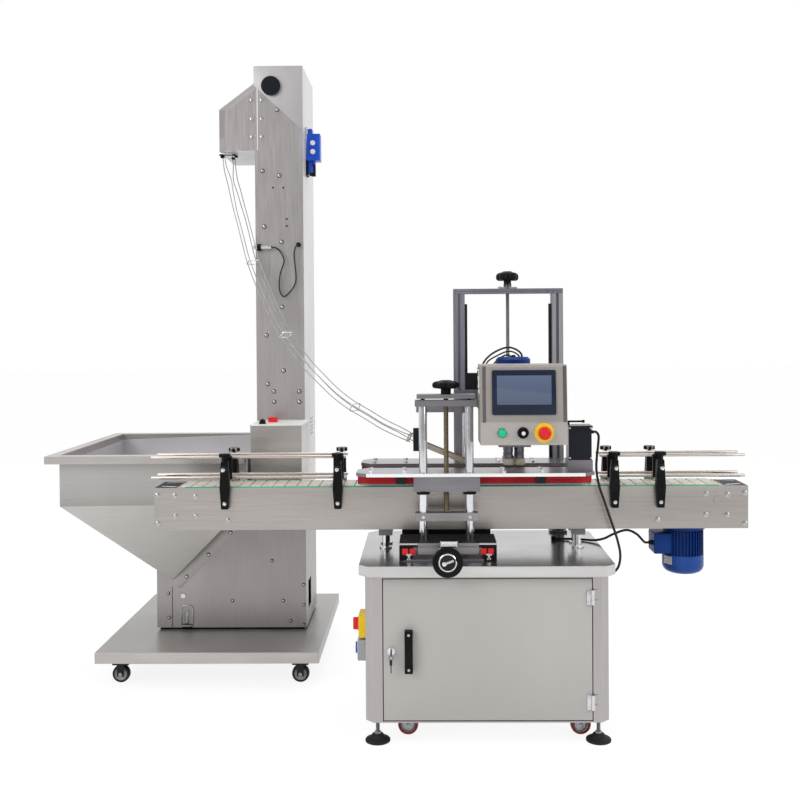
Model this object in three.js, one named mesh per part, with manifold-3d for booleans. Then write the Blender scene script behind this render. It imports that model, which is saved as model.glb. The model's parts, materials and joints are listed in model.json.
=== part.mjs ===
// Capping machine: a slat conveyor on a steel cabinet, two belt grippers that hold the bottle,
// four spindles that turn the cap tight, a cap elevator with its hopper, and a wire chute
// that brings the caps from the elevator's head to the spindles.
// Millimetres, +Z up. X runs along the conveyor, Y runs away from the operator.
// X = 0 and Y = 0 are where the left gripper post and the conveyor's centre line stand,
// and the finished group is moved so that its origin is the bottom centre of its bounding box.

import * as THREE from 'three';
import { mergeVertices } from 'three/addons/utils/BufferGeometryUtils.js';
import { ConvexGeometry } from 'three/addons/geometries/ConvexGeometry.js';
import Module from 'manifold-3d';

const wasm = await Module();
wasm.setup();

// Clearances shared by all pieces
const gap = 0.3;
const bite = 1;
const overrun = 4;

// Numbers of sides of the round solids
const fineSides = 24;
const roundSides = 16;
const smallSides = 8;
const cordSides = 8;
const wireSides = 6;
const boltSides = 6;

// Conveyor
const conveyor = {
  left: -877, right: 1048, halfWidth: 70, plate: 4, bottom: 623, top: 761,
  endInset: 100, chainTop: 765, chainHalfWidth: 60, chainThickness: 8, chainPlay: 1, chainRadius: 49,
  shaftRadius: 12, noseTop: 761, noseThickness: 4, noseClearance: 3,
  tieRadius: 9, tieZ: 648, tieShares: [0.06, 0.2, 0.45, 0.72], stripHeight: 3, stripWidth: 5,
};
const support = {
  leftX: -125, rightX: 504, y: 36, halfWidth: 22, halfDepth: 15, blockHeight: 23,
  postRadius: 11, crossThickness: 6, footRadius: 20, footHeight: 5,
};
const railBracket = {
  xs: [-643, -277, 616, 763], halfWidth: 16, depth: 22, bottom: 694, top: 848, taper: 5, pinZ: 824,
  stemRadius: 5, stemHeight: 14, knobRadius: 19, knobHeight: 12, knobLobes: 6, lobeShare: 0.82,
};
const guideRail = {
  radius: 5, y: 38, upperZ: 857, lowerZ: 790, leftStart: -894, leftEnd: -253, rightStart: 575,
  rightEnd: 1047, clampHalfWidth: 11, clampThickness: 12, pinRadius: 6, pinReach: 118,
};
const conveyorMotor = {
  x: 854, radius: 67, bottom: 467, cowlHeight: 62, cowlRound: 22, bodyInset: 4, flangeRadius: 72,
  flangeThickness: 10, boxWidth: 36, boxHalfDepth: 45, boxHeight: 66, boxDrop: 12, gearHalfWidth: 45,
  gearHalfDepth: 40, gearHeight: 34, glandRadius: 9, glandLength: 14,
};

// Cabinet
const cabinet = {
  left: -180, right: 565, front: -275, back: 225, bottom: 73, top: 523, corner: 25, sheet: 3,
  jambDepth: 17,
};
const worktop = { overhang: 18, frontOverhang: 25, height: 33, sheet: 4, rim: 40, corner: 30 };
const door = { left: -124, right: 511, bottom: 80, top: 512, thickness: 16, sheet: 2.5, reveal: 2.5 };
const doorHinge = {
  lowZ: 136, highZ: 456, radius: 6, pinRadius: 3, height: 46, leafThickness: 2.5, leafWidth: 16,
};
const doorHandle = { left: -59, width: 25, low: 229, high: 359, standOff: 14, thickness: 9, foot: 22 };
const doorLock = {
  x: -100, z: 292, radius: 9, headRadius: 12, headThickness: 4, camThickness: 3, camWidth: 16,
  camLength: 44, camClearance: 4, keyWidth: 4, keyHeight: 20, keyDepth: 22,
};
const switchPlate = {
  y: -190, halfDepth: 35, thickness: 22, low: 318, high: 389, inletLow: 247, inletHigh: 310,
  inletThickness: 26, inletRadius: 18, inletRise: 8,
};
const switchKnob = { radius: 22, thickness: 6, gripWidth: 9, gripHeight: 38, gripDepth: 14 };
const foot = {
  leftX: -145, rightX: 536, frontY: -230, backY: 180, padRadius: 39, padHeight: 9, domeRadius: 17,
  domeTop: 24, studRadius: 6, nutRadius: 12, nutHeight: 9, nutSides: 6,
};
const cabinetCaster = {
  leftX: -52, rightX: 487, frontY: -185, backY: 135, radius: 32, width: 24, floorClearance: 4,
};
const fork = {
  plate: 3, wheelClearance: 1, cheekHalfLength: 13, dropBelowAxle: 8, axleRadius: 4,
  topHalfLength: 30,
};

// Fixed and moving parts of the bottle grippers
const gripper = {
  left: -212, right: 540, inner: 50, outer: 190, corner: 34, bottom: 810, thickness: 11, beltInset: 1,
  beltRadius: 47, beltLow: 783, beltHigh: 807, beltThickness: 5, flangeThickness: 5, pressX: [-70, 371],
  pressHalfWidth: 16, pressThickness: 8, boltRadius: 8, boltHeight: 5,
  boltShares: [0.06, 0.2, 0.62, 0.78], boltRowShares: [0.25, 0.8],
};
const liftPost = { leftX: 0, rightX: 146, y: 165, radius: 13, high: 1030 };
const liftBlock = {
  left: -30, right: 178, halfDepth: 17, low: 763, flangeRadius: 21, flangeHeight: 9,
};
const postBar = { margin: 25, halfDepth: 17, low: 671, high: 696, boltRadius: 6, boltReach: 4 };
const postTop = { margin: 19, halfDepth: 26, lowHeight: 20, upperGap: 5, upperHeight: 13, spacerRadius: 7 };
const liftScrew = {
  x: 73, radius: 7.5, knobRadius: 43, knobLow: 1086, knobHeight: 26, hubRadius: 16, lobes: 6,
  lobeShare: 0.8,
};
const slideBase = {
  left: -75, right: 226, front: -230, back: -90, top: 612, plate: 11, railWidth: 40, floorPlate: 5,
  bearingThickness: 10, bearingHalfWidth: 34, bearingTop: 596, nutHalfWidth: 18, nutHalfDepth: 14,
  nutLow: 563, screwRadius: 6, screwZ: 573,
};
const handwheel = {
  y: -321, radius: 46, thickness: 18, rimWidth: 13, dishDepth: 5, hubRadius: 13, screwEnd: -118,
};
const gripperMotor = {
  left: 462, right: 538, halfDepth: 35, y: -100, blockHeight: 34, high: 963, capHeight: 8,
  capInset: 3, glandZ: 940, glandRadius: 6, glandLength: 8,
};

// Portal that carries the capping head
const portal = {
  left: 107, right: 490, front: 196, post: 40, top: 1413, beam: 18, groove: 8, grooveDepth: 6,
  railWidth: 15, railThickness: 9, railTopDrop: 35, railLow: 760, footPlate: 8, footMargin: 10,
  lockRadius: 14, lockHeight: 18, earHalfLength: 34, earThickness: 6, earHalfDepth: 8,
};
const headScrew = {
  x: 298, y: 216, radius: 6, low: 985, knobRadius: 40, knobLow: portal.top + 29, knobHeight: 24, hubRadius: 13,
  lobes: 5, lobeShare: 0.78,
};
const head = {
  sliderLow: 1055, sliderHigh: 1118, sliderHalfDepth: 13, armHalfWidth: 45, armFront: 44, armLow: 1030,
  armHigh: 1078, boxHalfWidth: 52, boxHalfDepth: 58, boxLow: 887, boxHigh: 1062, motorRadius: 57,
  motorHigh: 1180, motorRound: 8, leadRadius: 7, leadHeight: 6, leadOffset: 20,
};
const spindle = {
  spacing: 36, rowY: 31, wheelRadius: 17.5, wheelLow: 827, wheelHeight: 21, bodyRadius: 14,
  shaftRadius: 6, shaftEngage: 24, tipRadius: 6, tipHeight: 3,
};
const hmi = {
  left: 176, right: 441, front: -264, back: -120, low: 917, foldRise: 69, high: 1161, lean: 14, sheet: 3,
  armLow: 1000, armHigh: 1060, armInset: 10, armWidth: 24, bracket: 10,
};
const hmiFold = hmi.low + hmi.foldRise;
const screen = { left: 212, right: 407, low: 1009, high: 1146, thickness: 5 };
const button = { z: 954.5, stemLength: 22 };
const startButton = { x: 242, radius: 12, collar: 15, collarHeight: 3, rise: 6 };
const selector = { x: 305.5, radius: 15, collar: 17.5, collarHeight: 3, rise: 8, gripWidth: 7, gripRise: 8 };
const emergencyStop = {
  x: 370, ringRadius: 30, ringHeight: 2, headRadius: 20, headLow: 9, headHeight: 13,
  neckRadius: 11,
};

// Cap elevator
const platform = {
  left: -1177, right: -377, front: 224, back: 1024, bottom: 89, top: 129, sheet: 3,
  casterInset: 74, casterPlate: 40, casterPlateThickness: 4,
};
const elevatorWheel = { radius: 31.5, width: 24 };
const boot = {
  left: -1025, front: 494, back: 834, bottom: 139, tipX: -966, tipZ: 320, sheet: 3,
  plinthInset: 10, ventY: 560, ventLength: 90, ventLow: 192, ventHigh: 300, mouthHalf: 46,
};
const column = {
  left: -636, right: -453, top: 2276, sheet: 3, slotLow: 1966, slotHigh: 2172, slotInset: 24,
  capRadius: 36.5, capThickness: 14, capHoleDepth: 8, sensorLeft: -640, sensorRight: -573, sensorY: 476,
  sensorZ: 1587, sensorRadius: 8, nutRadius: 13, nutWidth: 14, bracketHalfWidth: 8, bracketHalfHeight: 11,
  glandX: -472, glandZ: 1597, glandRadius: 9, glandReach: 12,
};
const capBelt = {
  headX: -572, headZ: 2199, tailX: -925, tailZ: 260, radius: 40, thickness: 4, halfWidth: 150,
  cleatHeight: 14, cleatThickness: 5, cleatPitch: 240, cleatStart: 760,
};
const drum = { shaftRadius: 10, play: 1, halfWidth: 146 };
const hopper = {
  left: -1310, front: 264, back: 1014, rimHigh: 829, rimLow: 801, wallLow: 644, rim: 40, sheet: 3,
  seat: 0.5, mouthHalf: 44,
};
const controlBox = {
  left: -625, right: -440, front: 284, low: 640, high: 928, sheet: 3, lidThickness: 4, lidMargin: 3,
  knobX: -588, knobY: 330, switchX: -560, switchY: 400, switchHalf: 16, switchRise: 18,
};
const elevatorKnob = { radius: 13, height: 14, stemRadius: 4, stemDrop: 12, gripWidth: 5, gripRise: 4 };
const discharge = {
  left: -742, bevel: 36, bevelRise: 37, low: 1956, high: 2109, peak: 2188, sheet: 2.5, mouthX: -748,
  mouthY: 554, mouthHalfWidth: 22, mouthHalfDepth: 18,
};
const airValve = {
  y: 600, halfDepth: 26, low: 1872, high: 2060, plate: 8, bodyLow: 1930, bodyHigh: 2034, reach: 56,
  pinRadius: 10, pinRise: 6, stemRadius: 9, pinZs: [1964, 1998],
};
const chute = {
  rodRadius: 2, halfWidth: 20, halfHeight: 10, steps: 16, ringShares: [0.3, 0.523, 0.776, 0.985],
  ringThickness: 4, ringMargin: 5, collarHeight: 6, collarHalfWidth: 33, collarHalfDepth: 25, endReach: 14,
};
// Way of the chute from the discharge box to the cap track, in shares of the run between the two
const chuteWayShares = [
  [0.003, 0.012, 0.03], [0.053, 0.058, 0.173], [0.103, 0.135, 0.282], [0.151, 0.207, 0.392],
  [0.202, 0.28, 0.473], [0.332, 0.462, 0.644], [0.461, 0.571, 0.76], [0.582, 0.662, 0.84],
  [0.661, 0.716, 0.887], [0.735, 0.78, 0.913], [0.882, 0.907, 0.967], [0.95, 0.98, 0.984],
];
const capTrack = {
  start: [-34, 4, 902], end: [152, 4, 825], halfWidth: 20, thickness: 4, lip: 14, lipThickness: 3,
  barX: 118, barHalf: 12, barLow: 1012, barHigh: 1036, barThickness: 12, dropLow: 830,
  clampWidth: 20, clampThickness: 9, clampLow: 872, clampHigh: 948,
};

// Cords, each along a route chosen by hand
const sensorCord = { radius: 2.6, steps: 44 };
const sensorRoute = [
  [-572.7, 476, 1587], [-562, 476, 1587], [-546, 475, 1578], [-533, 474, 1560], [-525, 473, 1535],
  [-541, 472, 1480], [-541, 471, 1420], [-527, 470, 1400], [-499, 470, 1422], [-481, 470, 1456],
  [-483, 470, 1520], [-486, 469, 1560], [-480, 468, 1586], [-472, 474, 1597], [-472, 481.7, 1597],
];
const motorCord = { radius: 4, steps: 36 };
const motorCordRoute = [
  [546.3, -100, 940], [553, -100, 940], [561, -101, 931], [560, -104, 900], [555, -107, 860],
  [553, -110, 821], [560, -114, 772], [575, -118, 725], [600, -120, 650], [617, -120, 597],
  [626, -120, 549], [620, -120, 512], [606, -120, 495], [592, -120, 492], [580.3, -120, 492],
];
const conveyorCord = { radius: 4, steps: 26 };
const conveyorCordRoute = [
  [736.7, -20, 567.7], [726, -20, 568], [700, -16, 594], [670, -8, 606], [628, 8, 590], [600, 24, 572],
  [572, 40, 563], [540, 60, 560.6], [500, 72, 560.6], [460, 76, 560.6], [446.3, 76, 560.6],
];
const cordGland = { radius: 9, length: 15, y: -120, z: 492 };
const cordInlet = { x: 438, y: 76, half: 8, height: 14 };

const group = new THREE.Group();

// Basic solids

// Turns a closed geometry into a solid that can be joined and cut
function solidOf(geometry) {
  const bare = geometry.clone();
  bare.deleteAttribute('normal');
  bare.deleteAttribute('uv');
  const merged = mergeVertices(bare, 1e-4);
  const vertProperties = new Float32Array(merged.attributes.position.array);
  const triVerts = new Uint32Array(merged.index.array);
  return new wasm.Manifold(new wasm.Mesh({ numProp: 3, vertProperties, triVerts }));
}

// Block between two corners
function block(x0, x1, y0, y1, z0, z1) {
  const geometry = new THREE.BoxGeometry(x1 - x0, y1 - y0, z1 - z0);
  geometry.translate((x0 + x1) / 2, (y0 + y1) / 2, (z0 + z1) / 2);
  return solidOf(geometry);
}

// Round bar, or cone where the end radius differs, between two points
function rod(radius, from, to, sides = roundSides, endRadius = radius) {
  const start = new THREE.Vector3(...from);
  const end = new THREE.Vector3(...to);
  const direction = end.clone().sub(start);
  const geometry = new THREE.CylinderGeometry(endRadius, radius, direction.length(), sides);
  const turn = new THREE.Quaternion().setFromUnitVectors(new THREE.Vector3(0, 1, 0), direction.normalize());
  geometry.applyQuaternion(turn);
  const middle = start.add(end).multiplyScalar(0.5);
  geometry.translate(middle.x, middle.y, middle.z);
  return solidOf(geometry);
}

// Radius of a many-sided bore that keeps a gap round a bar however the bar is turned
function boreRadius(barRadius, sides) {
  return (barRadius + gap) / Math.cos(Math.PI / sides);
}

// Outline of points, drawn in the plane across an axis, extruded from a to b along that axis
const placeAlong = {
  x: (u, v, depth, a) => [a + depth, u, v],
  y: (u, v, depth, a, b) => [u, b - depth, v],
  z: (u, v, depth, a) => [u, v, a + depth],
};
function prism(axis, points, a, b) {
  const shape = new THREE.Shape(points.map(([u, v]) => new THREE.Vector2(u, v)));
  const geometry = new THREE.ExtrudeGeometry(shape, { depth: b - a, bevelEnabled: false });
  const position = geometry.attributes.position;
  for (let i = 0; i < position.count; i += 1) {
    const place = placeAlong[axis](position.getX(i), position.getY(i), position.getZ(i), a, b);
    position.setXYZ(i, ...place);
  }
  return solidOf(geometry);
}

// Profile of [radius, height] points, closed on the axis, turned about the vertical through x, y
function turned(profile, x, y, z, sides = roundSides) {
  const points = profile.map(([radius, height]) => new THREE.Vector2(radius, height));
  const geometry = new THREE.LatheGeometry(points, sides);
  geometry.rotateX(Math.PI / 2);
  geometry.translate(x, y, z);
  return solidOf(geometry);
}

// Solid of the outer hull of a list of points
function hull(points) {
  return solidOf(new ConvexGeometry(points.map((point) => new THREE.Vector3(...point))));
}

// Tube along a smooth curve through the points
function tube(points, radius, steps, sides) {
  const curve = new THREE.CatmullRomCurve3(points.map((point) => new THREE.Vector3(...point)));
  const ring = Array.from({ length: sides }, (_, i) => {
    const angle = (2 * Math.PI * i) / sides;
    return new THREE.Vector2(radius * Math.cos(angle), radius * Math.sin(angle));
  });
  const options = { steps, extrudePath: curve, bevelEnabled: false };
  return solidOf(new THREE.ExtrudeGeometry(new THREE.Shape(ring), options));
}

// Round or hexagonal plan with hand grips: points alternate between the full and the waisted radius
function star(radius, lobes, waistShare, stepsPerLobe = 4) {
  const count = lobes * stepsPerLobe;
  return Array.from({ length: count }, (_, i) => {
    const angle = (2 * Math.PI * i) / count;
    const wave = (1 + Math.cos(lobes * angle)) / 2;
    const reach = radius * (waistShare + (1 - waistShare) * wave);
    return [reach * Math.cos(angle), reach * Math.sin(angle)];
  });
}

// Circle of a radius about a centre, from one angle to another, as outline points
function arc(cx, cy, radius, from, to, steps) {
  return Array.from({ length: steps + 1 }, (_, i) => {
    const angle = from + ((to - from) * i) / steps;
    return [cx + radius * Math.cos(angle), cy + radius * Math.sin(angle)];
  });
}

// Outline moved inwards by a distance; the outline runs anticlockwise
function inset(points, distance) {
  const count = points.length;
  return points.map(([x, y], i) => {
    const [ax, ay] = points[(i + count - 1) % count];
    const [bx, by] = points[(i + 1) % count];
    const before = new THREE.Vector2(x - ax, y - ay).normalize();
    const after = new THREE.Vector2(bx - x, by - y).normalize();
    const miter = 1 + before.dot(after);
    const nx = -(before.y + after.y) / miter;
    const ny = (before.x + after.x) / miter;
    return [x + nx * distance, y + ny * distance];
  });
}

function shift(points, dx, dy) {
  return points.map(([x, y]) => [x + dx, y + dy]);
}

// Rectangle with cut corners, anticlockwise
function chamfered(x0, x1, y0, y1, corner) {
  return [
    [x0 + corner, y0], [x1 - corner, y0], [x1, y0 + corner], [x1, y1 - corner],
    [x1 - corner, y1], [x0 + corner, y1], [x0, y1 - corner], [x0, y0 + corner],
  ];
}

function join(...solids) {
  return solids.reduce((whole, piece) => whole.add(piece));
}

function cut(solid, ...tools) {
  return tools.reduce((rest, tool) => rest.subtract(tool), solid);
}

// Looks of the pieces
const finishes = {
  steel: { color: 0xa39c95, roughness: 0.35, metalness: 0.9 },
  paleSteel: { color: 0xbab6b0, roughness: 0.4, metalness: 0.7 },
  paint: { color: 0xc6c4bf, roughness: 0.55, metalness: 0.1 },
  taupe: { color: 0x969088, roughness: 0.5, metalness: 0.3 },
  chrome: { color: 0xd9dadd, roughness: 0.15, metalness: 1 },
  aluminium: { color: 0x9a97a0, roughness: 0.4, metalness: 0.8 },
  brass: { color: 0x8d7a55, roughness: 0.4, metalness: 0.9 },
  black: { color: 0x17181a, roughness: 0.5, metalness: 0.1 },
  red: { color: 0xbe2f37, roughness: 0.6, metalness: 0 },
  stopRed: { color: 0xe0252b, roughness: 0.35, metalness: 0 },
  blue: { color: 0x143f96, roughness: 0.4, metalness: 0.2 },
  valveBlue: { color: 0x1c58e0, roughness: 0.4, metalness: 0.1 },
  cream: { color: 0xe9e2d6, roughness: 0.5, metalness: 0 },
  green: { color: 0x12a071, roughness: 0.35, metalness: 0 },
  glass: { color: 0x3c4f66, roughness: 0.15, metalness: 0.1 },
  rubber: { color: 0x2a2a2c, roughness: 0.8, metalness: 0 },
};

function add(name, solid, finish) {
  const result = solid.getMesh();
  const geometry = new THREE.BufferGeometry();
  geometry.setAttribute('position', new THREE.BufferAttribute(result.vertProperties, 3));
  geometry.setIndex(new THREE.BufferAttribute(result.triVerts, 1));
  geometry.computeVertexNormals();
  const mesh = new THREE.Mesh(geometry, new THREE.MeshStandardMaterial(finishes[finish]));
  mesh.name = name;
  group.add(mesh);
}

const sidesOf = [['left', -1], ['right', 1]];
const rowsOf = [['front', -1], ['rear', 1]];

// Cabinet with its worktop, door, lock, switch, feet and casters

const doorAxis = { x: door.right + door.reveal / 2, y: cabinet.front - doorHinge.radius - gap };

function casterFork(x, y, axleZ, top, wheel) {
  const halfInside = wheel.width / 2 + fork.wheelClearance;
  const halfOutside = halfInside + fork.plate;
  const crown = axleZ + wheel.radius + fork.wheelClearance;
  const cheek = (from, to) => block(
    x - fork.cheekHalfLength, x + fork.cheekHalfLength, y + from, y + to,
    axleZ - fork.dropBelowAxle, crown + bite,
  );
  return join(
    block(x - fork.topHalfLength, x + fork.topHalfLength, y - halfOutside, y + halfOutside, crown, top),
    cheek(-halfOutside, -halfInside),
    cheek(halfInside, halfOutside),
    rod(fork.axleRadius, [x, y - halfInside - bite, axleZ], [x, y + halfInside + bite, axleZ], smallSides),
  );
}

function casterWheel(x, y, axleZ, wheel) {
  const half = wheel.width / 2;
  const bore = fork.axleRadius + gap;
  const profile = [[bore, -half], [wheel.radius, -half], [wheel.radius, half], [bore, half], [bore, -half]];
  const points = profile.map(([radius, across]) => new THREE.Vector2(radius, across));
  const geometry = new THREE.LatheGeometry(points, roundSides);
  geometry.translate(x, y, axleZ);
  return solidOf(geometry);
}

function cabinetBody() {
  const plan = chamfered(cabinet.left, cabinet.right, cabinet.front, cabinet.back, cabinet.corner);
  const topZ = cabinet.top - gap;
  const shell = cut(
    prism('z', plan, cabinet.bottom, topZ),
    prism('z', inset(plan, cabinet.sheet), cabinet.bottom + cabinet.sheet, topZ + overrun),
  );
  const openLeft = door.left - door.reveal;
  const openRight = door.right + door.reveal;
  const openLow = door.bottom - door.reveal;
  const openHigh = door.top + door.reveal;
  const jambBack = cabinet.front + cabinet.jambDepth;
  const jamb = cut(
    block(openLeft - cabinet.sheet, openRight + cabinet.sheet, cabinet.front + bite, jambBack,
      cabinet.bottom + bite, openHigh + cabinet.sheet),
    block(openLeft, openRight, cabinet.front - overrun, jambBack + overrun, openLow, openHigh),
  );
  const doorway = block(
    openLeft, openRight, cabinet.front - overrun, jambBack, openLow, openHigh,
  );
  const hinges = [doorHinge.lowZ, doorHinge.highZ].map((z) => {
    const low = z - doorHinge.height / 2;
    const knuckle = doorHinge.height / 3;
    const barrel = (from) => rod(doorHinge.radius, [doorAxis.x, doorAxis.y, from],
      [doorAxis.x, doorAxis.y, from + knuckle], smallSides);
    const leaf = (from) => block(doorAxis.x, doorAxis.x + doorHinge.leafWidth,
      cabinet.front - doorHinge.leafThickness, cabinet.front + bite, from, from + knuckle);
    const web = (from) => block(doorAxis.x, doorAxis.x + doorHinge.radius, doorAxis.y,
      cabinet.front, from, from + knuckle);
    const upper = low + 2 * knuckle;
    return join(
      barrel(low), leaf(low), web(low), barrel(upper), leaf(upper), web(upper),
      rod(doorHinge.pinRadius, [doorAxis.x, doorAxis.y, low], [doorAxis.x, doorAxis.y, upper], smallSides),
    );
  });
  const axleZ = cabinetCaster.floorClearance + cabinetCaster.radius;
  const forks = [cabinetCaster.leftX, cabinetCaster.rightX].flatMap((x) => (
    [cabinetCaster.frontY, cabinetCaster.backY].map((y) => (
      casterFork(x, y, axleZ, cabinet.bottom + bite, cabinetCaster)))));
  const plate = (low, high, thickness) => block(
    cabinet.left - thickness, cabinet.left + bite, switchPlate.y - switchPlate.halfDepth,
    switchPlate.y + switchPlate.halfDepth, low, high,
  );
  const inletZ = (switchPlate.inletLow + switchPlate.inletHigh) / 2;
  const inletFace = cabinet.left - switchPlate.inletThickness;
  return join(
    cut(join(shell, jamb), doorway),
    ...hinges,
    ...forks,
    plate(switchPlate.low, switchPlate.high, switchPlate.thickness),
    plate(switchPlate.inletLow, switchPlate.inletHigh, switchPlate.inletThickness),
    rod(cordGland.radius, [cabinet.right - bite, cordGland.y, cordGland.z],
      [cabinet.right + cordGland.length, cordGland.y, cordGland.z], smallSides),
    rod(switchPlate.inletRadius, [inletFace + bite, switchPlate.y, inletZ],
      [inletFace - switchPlate.inletRise, switchPlate.y, inletZ]),
  );
}

function worktopSlab() {
  const left = cabinet.left - worktop.overhang;
  const right = cabinet.right + worktop.overhang;
  const front = cabinet.front - worktop.frontOverhang;
  const back = cabinet.back + worktop.frontOverhang;
  const plan = chamfered(left, right, front, back, worktop.corner);
  const topZ = cabinet.top + worktop.height;
  const pan = cut(
    prism('z', plan, cabinet.top, topZ),
    prism('z', inset(plan, worktop.rim), cabinet.top - overrun, topZ - worktop.sheet),
  );
  const inlet = block(cordInlet.x - cordInlet.half, cordInlet.x + cordInlet.half,
    cordInlet.y - cordInlet.half, cordInlet.y + cordInlet.half, topZ - bite, topZ + cordInlet.height);
  return join(pan, inlet);
}

function cabinetDoor() {
  const back = cabinet.front + door.thickness;
  const hole = doorLock.radius + gap;
  const panel = cut(
    block(door.left, door.right, cabinet.front, back, door.bottom, door.top),
    block(door.left + door.sheet, door.right - door.sheet, cabinet.front + door.sheet, back + overrun,
      door.bottom + door.sheet, door.top - door.sheet),
    rod(hole, [doorLock.x, cabinet.front - overrun, doorLock.z],
      [doorLock.x, back + overrun, doorLock.z]),
  );
  const handleFace = cabinet.front - doorHandle.standOff - doorHandle.thickness;
  const handleRight = doorHandle.left + doorHandle.width;
  const handle = cut(
    block(doorHandle.left, handleRight, handleFace, cabinet.front + bite, doorHandle.low, doorHandle.high),
    block(doorHandle.left - overrun, handleRight + overrun, handleFace + doorHandle.thickness,
      cabinet.front, doorHandle.low + doorHandle.foot, doorHandle.high - doorHandle.foot),
  );
  const knuckle = doorHinge.height / 3;
  const barrels = [doorHinge.lowZ, doorHinge.highZ].map((z) => {
    const low = z - knuckle / 2 + gap;
    const high = z + knuckle / 2 - gap;
    const barrel = join(
      rod(doorHinge.radius, [doorAxis.x, doorAxis.y, low], [doorAxis.x, doorAxis.y, high], smallSides),
      block(doorAxis.x - doorHinge.leafWidth, doorAxis.x, cabinet.front - doorHinge.leafThickness,
        cabinet.front - gap, low, high),
      block(doorAxis.x - doorHinge.leafWidth, door.right - bite, cabinet.front - doorHinge.leafThickness,
        cabinet.front + bite, low, high),
    );
    return cut(barrel, rod(doorHinge.pinRadius + gap, [doorAxis.x, doorAxis.y, low - overrun],
      [doorAxis.x, doorAxis.y, high + overrun], smallSides));
  });
  return join(panel, handle, ...barrels);
}

function lockBarrel() {
  const face = cabinet.front - gap;
  const camFront = cabinet.front + cabinet.jambDepth + doorLock.camClearance;
  const camBack = camFront + doorLock.camThickness;
  const at = (y) => [doorLock.x, y, doorLock.z];
  const halfWidth = doorLock.camWidth / 2;
  return join(
    rod(doorLock.headRadius, at(face), at(face - doorLock.headThickness)),
    rod(doorLock.radius, at(face), at(camBack)),
    block(doorLock.x - halfWidth, doorLock.x + halfWidth, camFront, camBack,
      doorLock.z - doorLock.camLength, doorLock.z + halfWidth),
    block(doorLock.x - doorLock.keyWidth / 2, doorLock.x + doorLock.keyWidth / 2,
      face - doorLock.keyDepth, face - doorLock.headThickness + bite,
      doorLock.z - doorLock.keyHeight / 2, doorLock.z + doorLock.keyHeight / 2),
  );
}

function mainSwitch() {
  const z = (switchPlate.low + switchPlate.high) / 2;
  const face = cabinet.left - switchPlate.thickness - gap;
  const top = face - switchKnob.thickness;
  return join(
    rod(switchKnob.radius, [face, switchPlate.y, z], [top, switchPlate.y, z]),
    block(top - switchKnob.gripDepth, top + bite, switchPlate.y - switchKnob.gripWidth / 2,
      switchPlate.y + switchKnob.gripWidth / 2, z - switchKnob.gripHeight / 2, z + switchKnob.gripHeight / 2),
  );
}

function levelFoot(x, y) {
  const top = cabinet.bottom - gap;
  const nut = rod(foot.nutRadius, [x, y, top - foot.nutHeight], [x, y, top], foot.nutSides);
  const pad = turned([
    [0, 0], [foot.padRadius, 0], [foot.padRadius, foot.padHeight], [foot.domeRadius, foot.domeTop],
    [foot.studRadius, foot.domeTop], [foot.studRadius, top], [0, top],
  ], x, y, 0);
  return join(pad, nut);
}

add('cabinet_body', cabinetBody(), 'paint');
add('worktop', worktopSlab(), 'steel');
add('cabinet_door', cabinetDoor(), 'paint');
add('door_lock', lockBarrel(), 'chrome');
add('main_switch', mainSwitch(), 'stopRed');
for (const [row, y] of [['front', foot.frontY], ['rear', foot.backY]]) {
  add(`foot_${row}_left`, levelFoot(foot.leftX, y), 'rubber');
  add(`foot_${row}_right`, levelFoot(foot.rightX, y), 'rubber');
}
for (const [row, y] of [['front', cabinetCaster.frontY], ['rear', cabinetCaster.backY]]) {
  const axleZ = cabinetCaster.floorClearance + cabinetCaster.radius;
  add(`cabinet_wheel_${row}_left`, casterWheel(cabinetCaster.leftX, y, axleZ, cabinetCaster), 'red');
  add(`cabinet_wheel_${row}_right`, casterWheel(cabinetCaster.rightX, y, axleZ, cabinetCaster), 'red');
}

// Conveyor with its chain, shaft, motor and guide rails

const tableTop = cabinet.top + worktop.height;
const chainZ = conveyor.chainTop - conveyor.chainRadius;
const chainEnds = [conveyor.left + conveyor.endInset, conveyor.right - conveyor.endInset];
const chainNoseRadius = conveyor.chainRadius - conveyor.chainThickness - conveyor.chainPlay;

function stadium(x0, x1, z, radius, steps = 10) {
  return [
    ...arc(x1, z, radius, -Math.PI / 2, Math.PI / 2, steps),
    ...arc(x0, z, radius, Math.PI / 2, (3 * Math.PI) / 2, steps),
  ];
}

function bracket(x, side) {
  const face = side * conveyor.halfWidth;
  const outer = side * (conveyor.halfWidth + railBracket.depth);
  const y0 = Math.min(face - side * bite, outer);
  const y1 = Math.max(face - side * bite, outer);
  const wide = railBracket.halfWidth;
  const narrow = railBracket.halfWidth - railBracket.taper;
  const outline = [
    [x - narrow, railBracket.bottom], [x + narrow, railBracket.bottom], [x + wide, conveyor.top],
    [x + narrow, railBracket.top], [x - narrow, railBracket.top], [x - wide, conveyor.top],
  ];
  const middle = side * (conveyor.halfWidth + railBracket.depth / 2);
  const stemTop = railBracket.top + railBracket.stemHeight;
  const lobes = star(railBracket.knobRadius, railBracket.knobLobes, railBracket.lobeShare, 2);
  const body = join(
    prism('y', outline, y0, y1),
    rod(railBracket.stemRadius, [x, middle, railBracket.top - bite], [x, middle, stemTop + bite], smallSides),
    prism('z', shift(lobes, x, middle), stemTop, stemTop + railBracket.knobHeight),
  );
  return cut(body, rod(guideRail.pinRadius + gap, [x, y0 - overrun, railBracket.pinZ],
    [x, y1 + overrun, railBracket.pinZ], wireSides));
}

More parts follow.
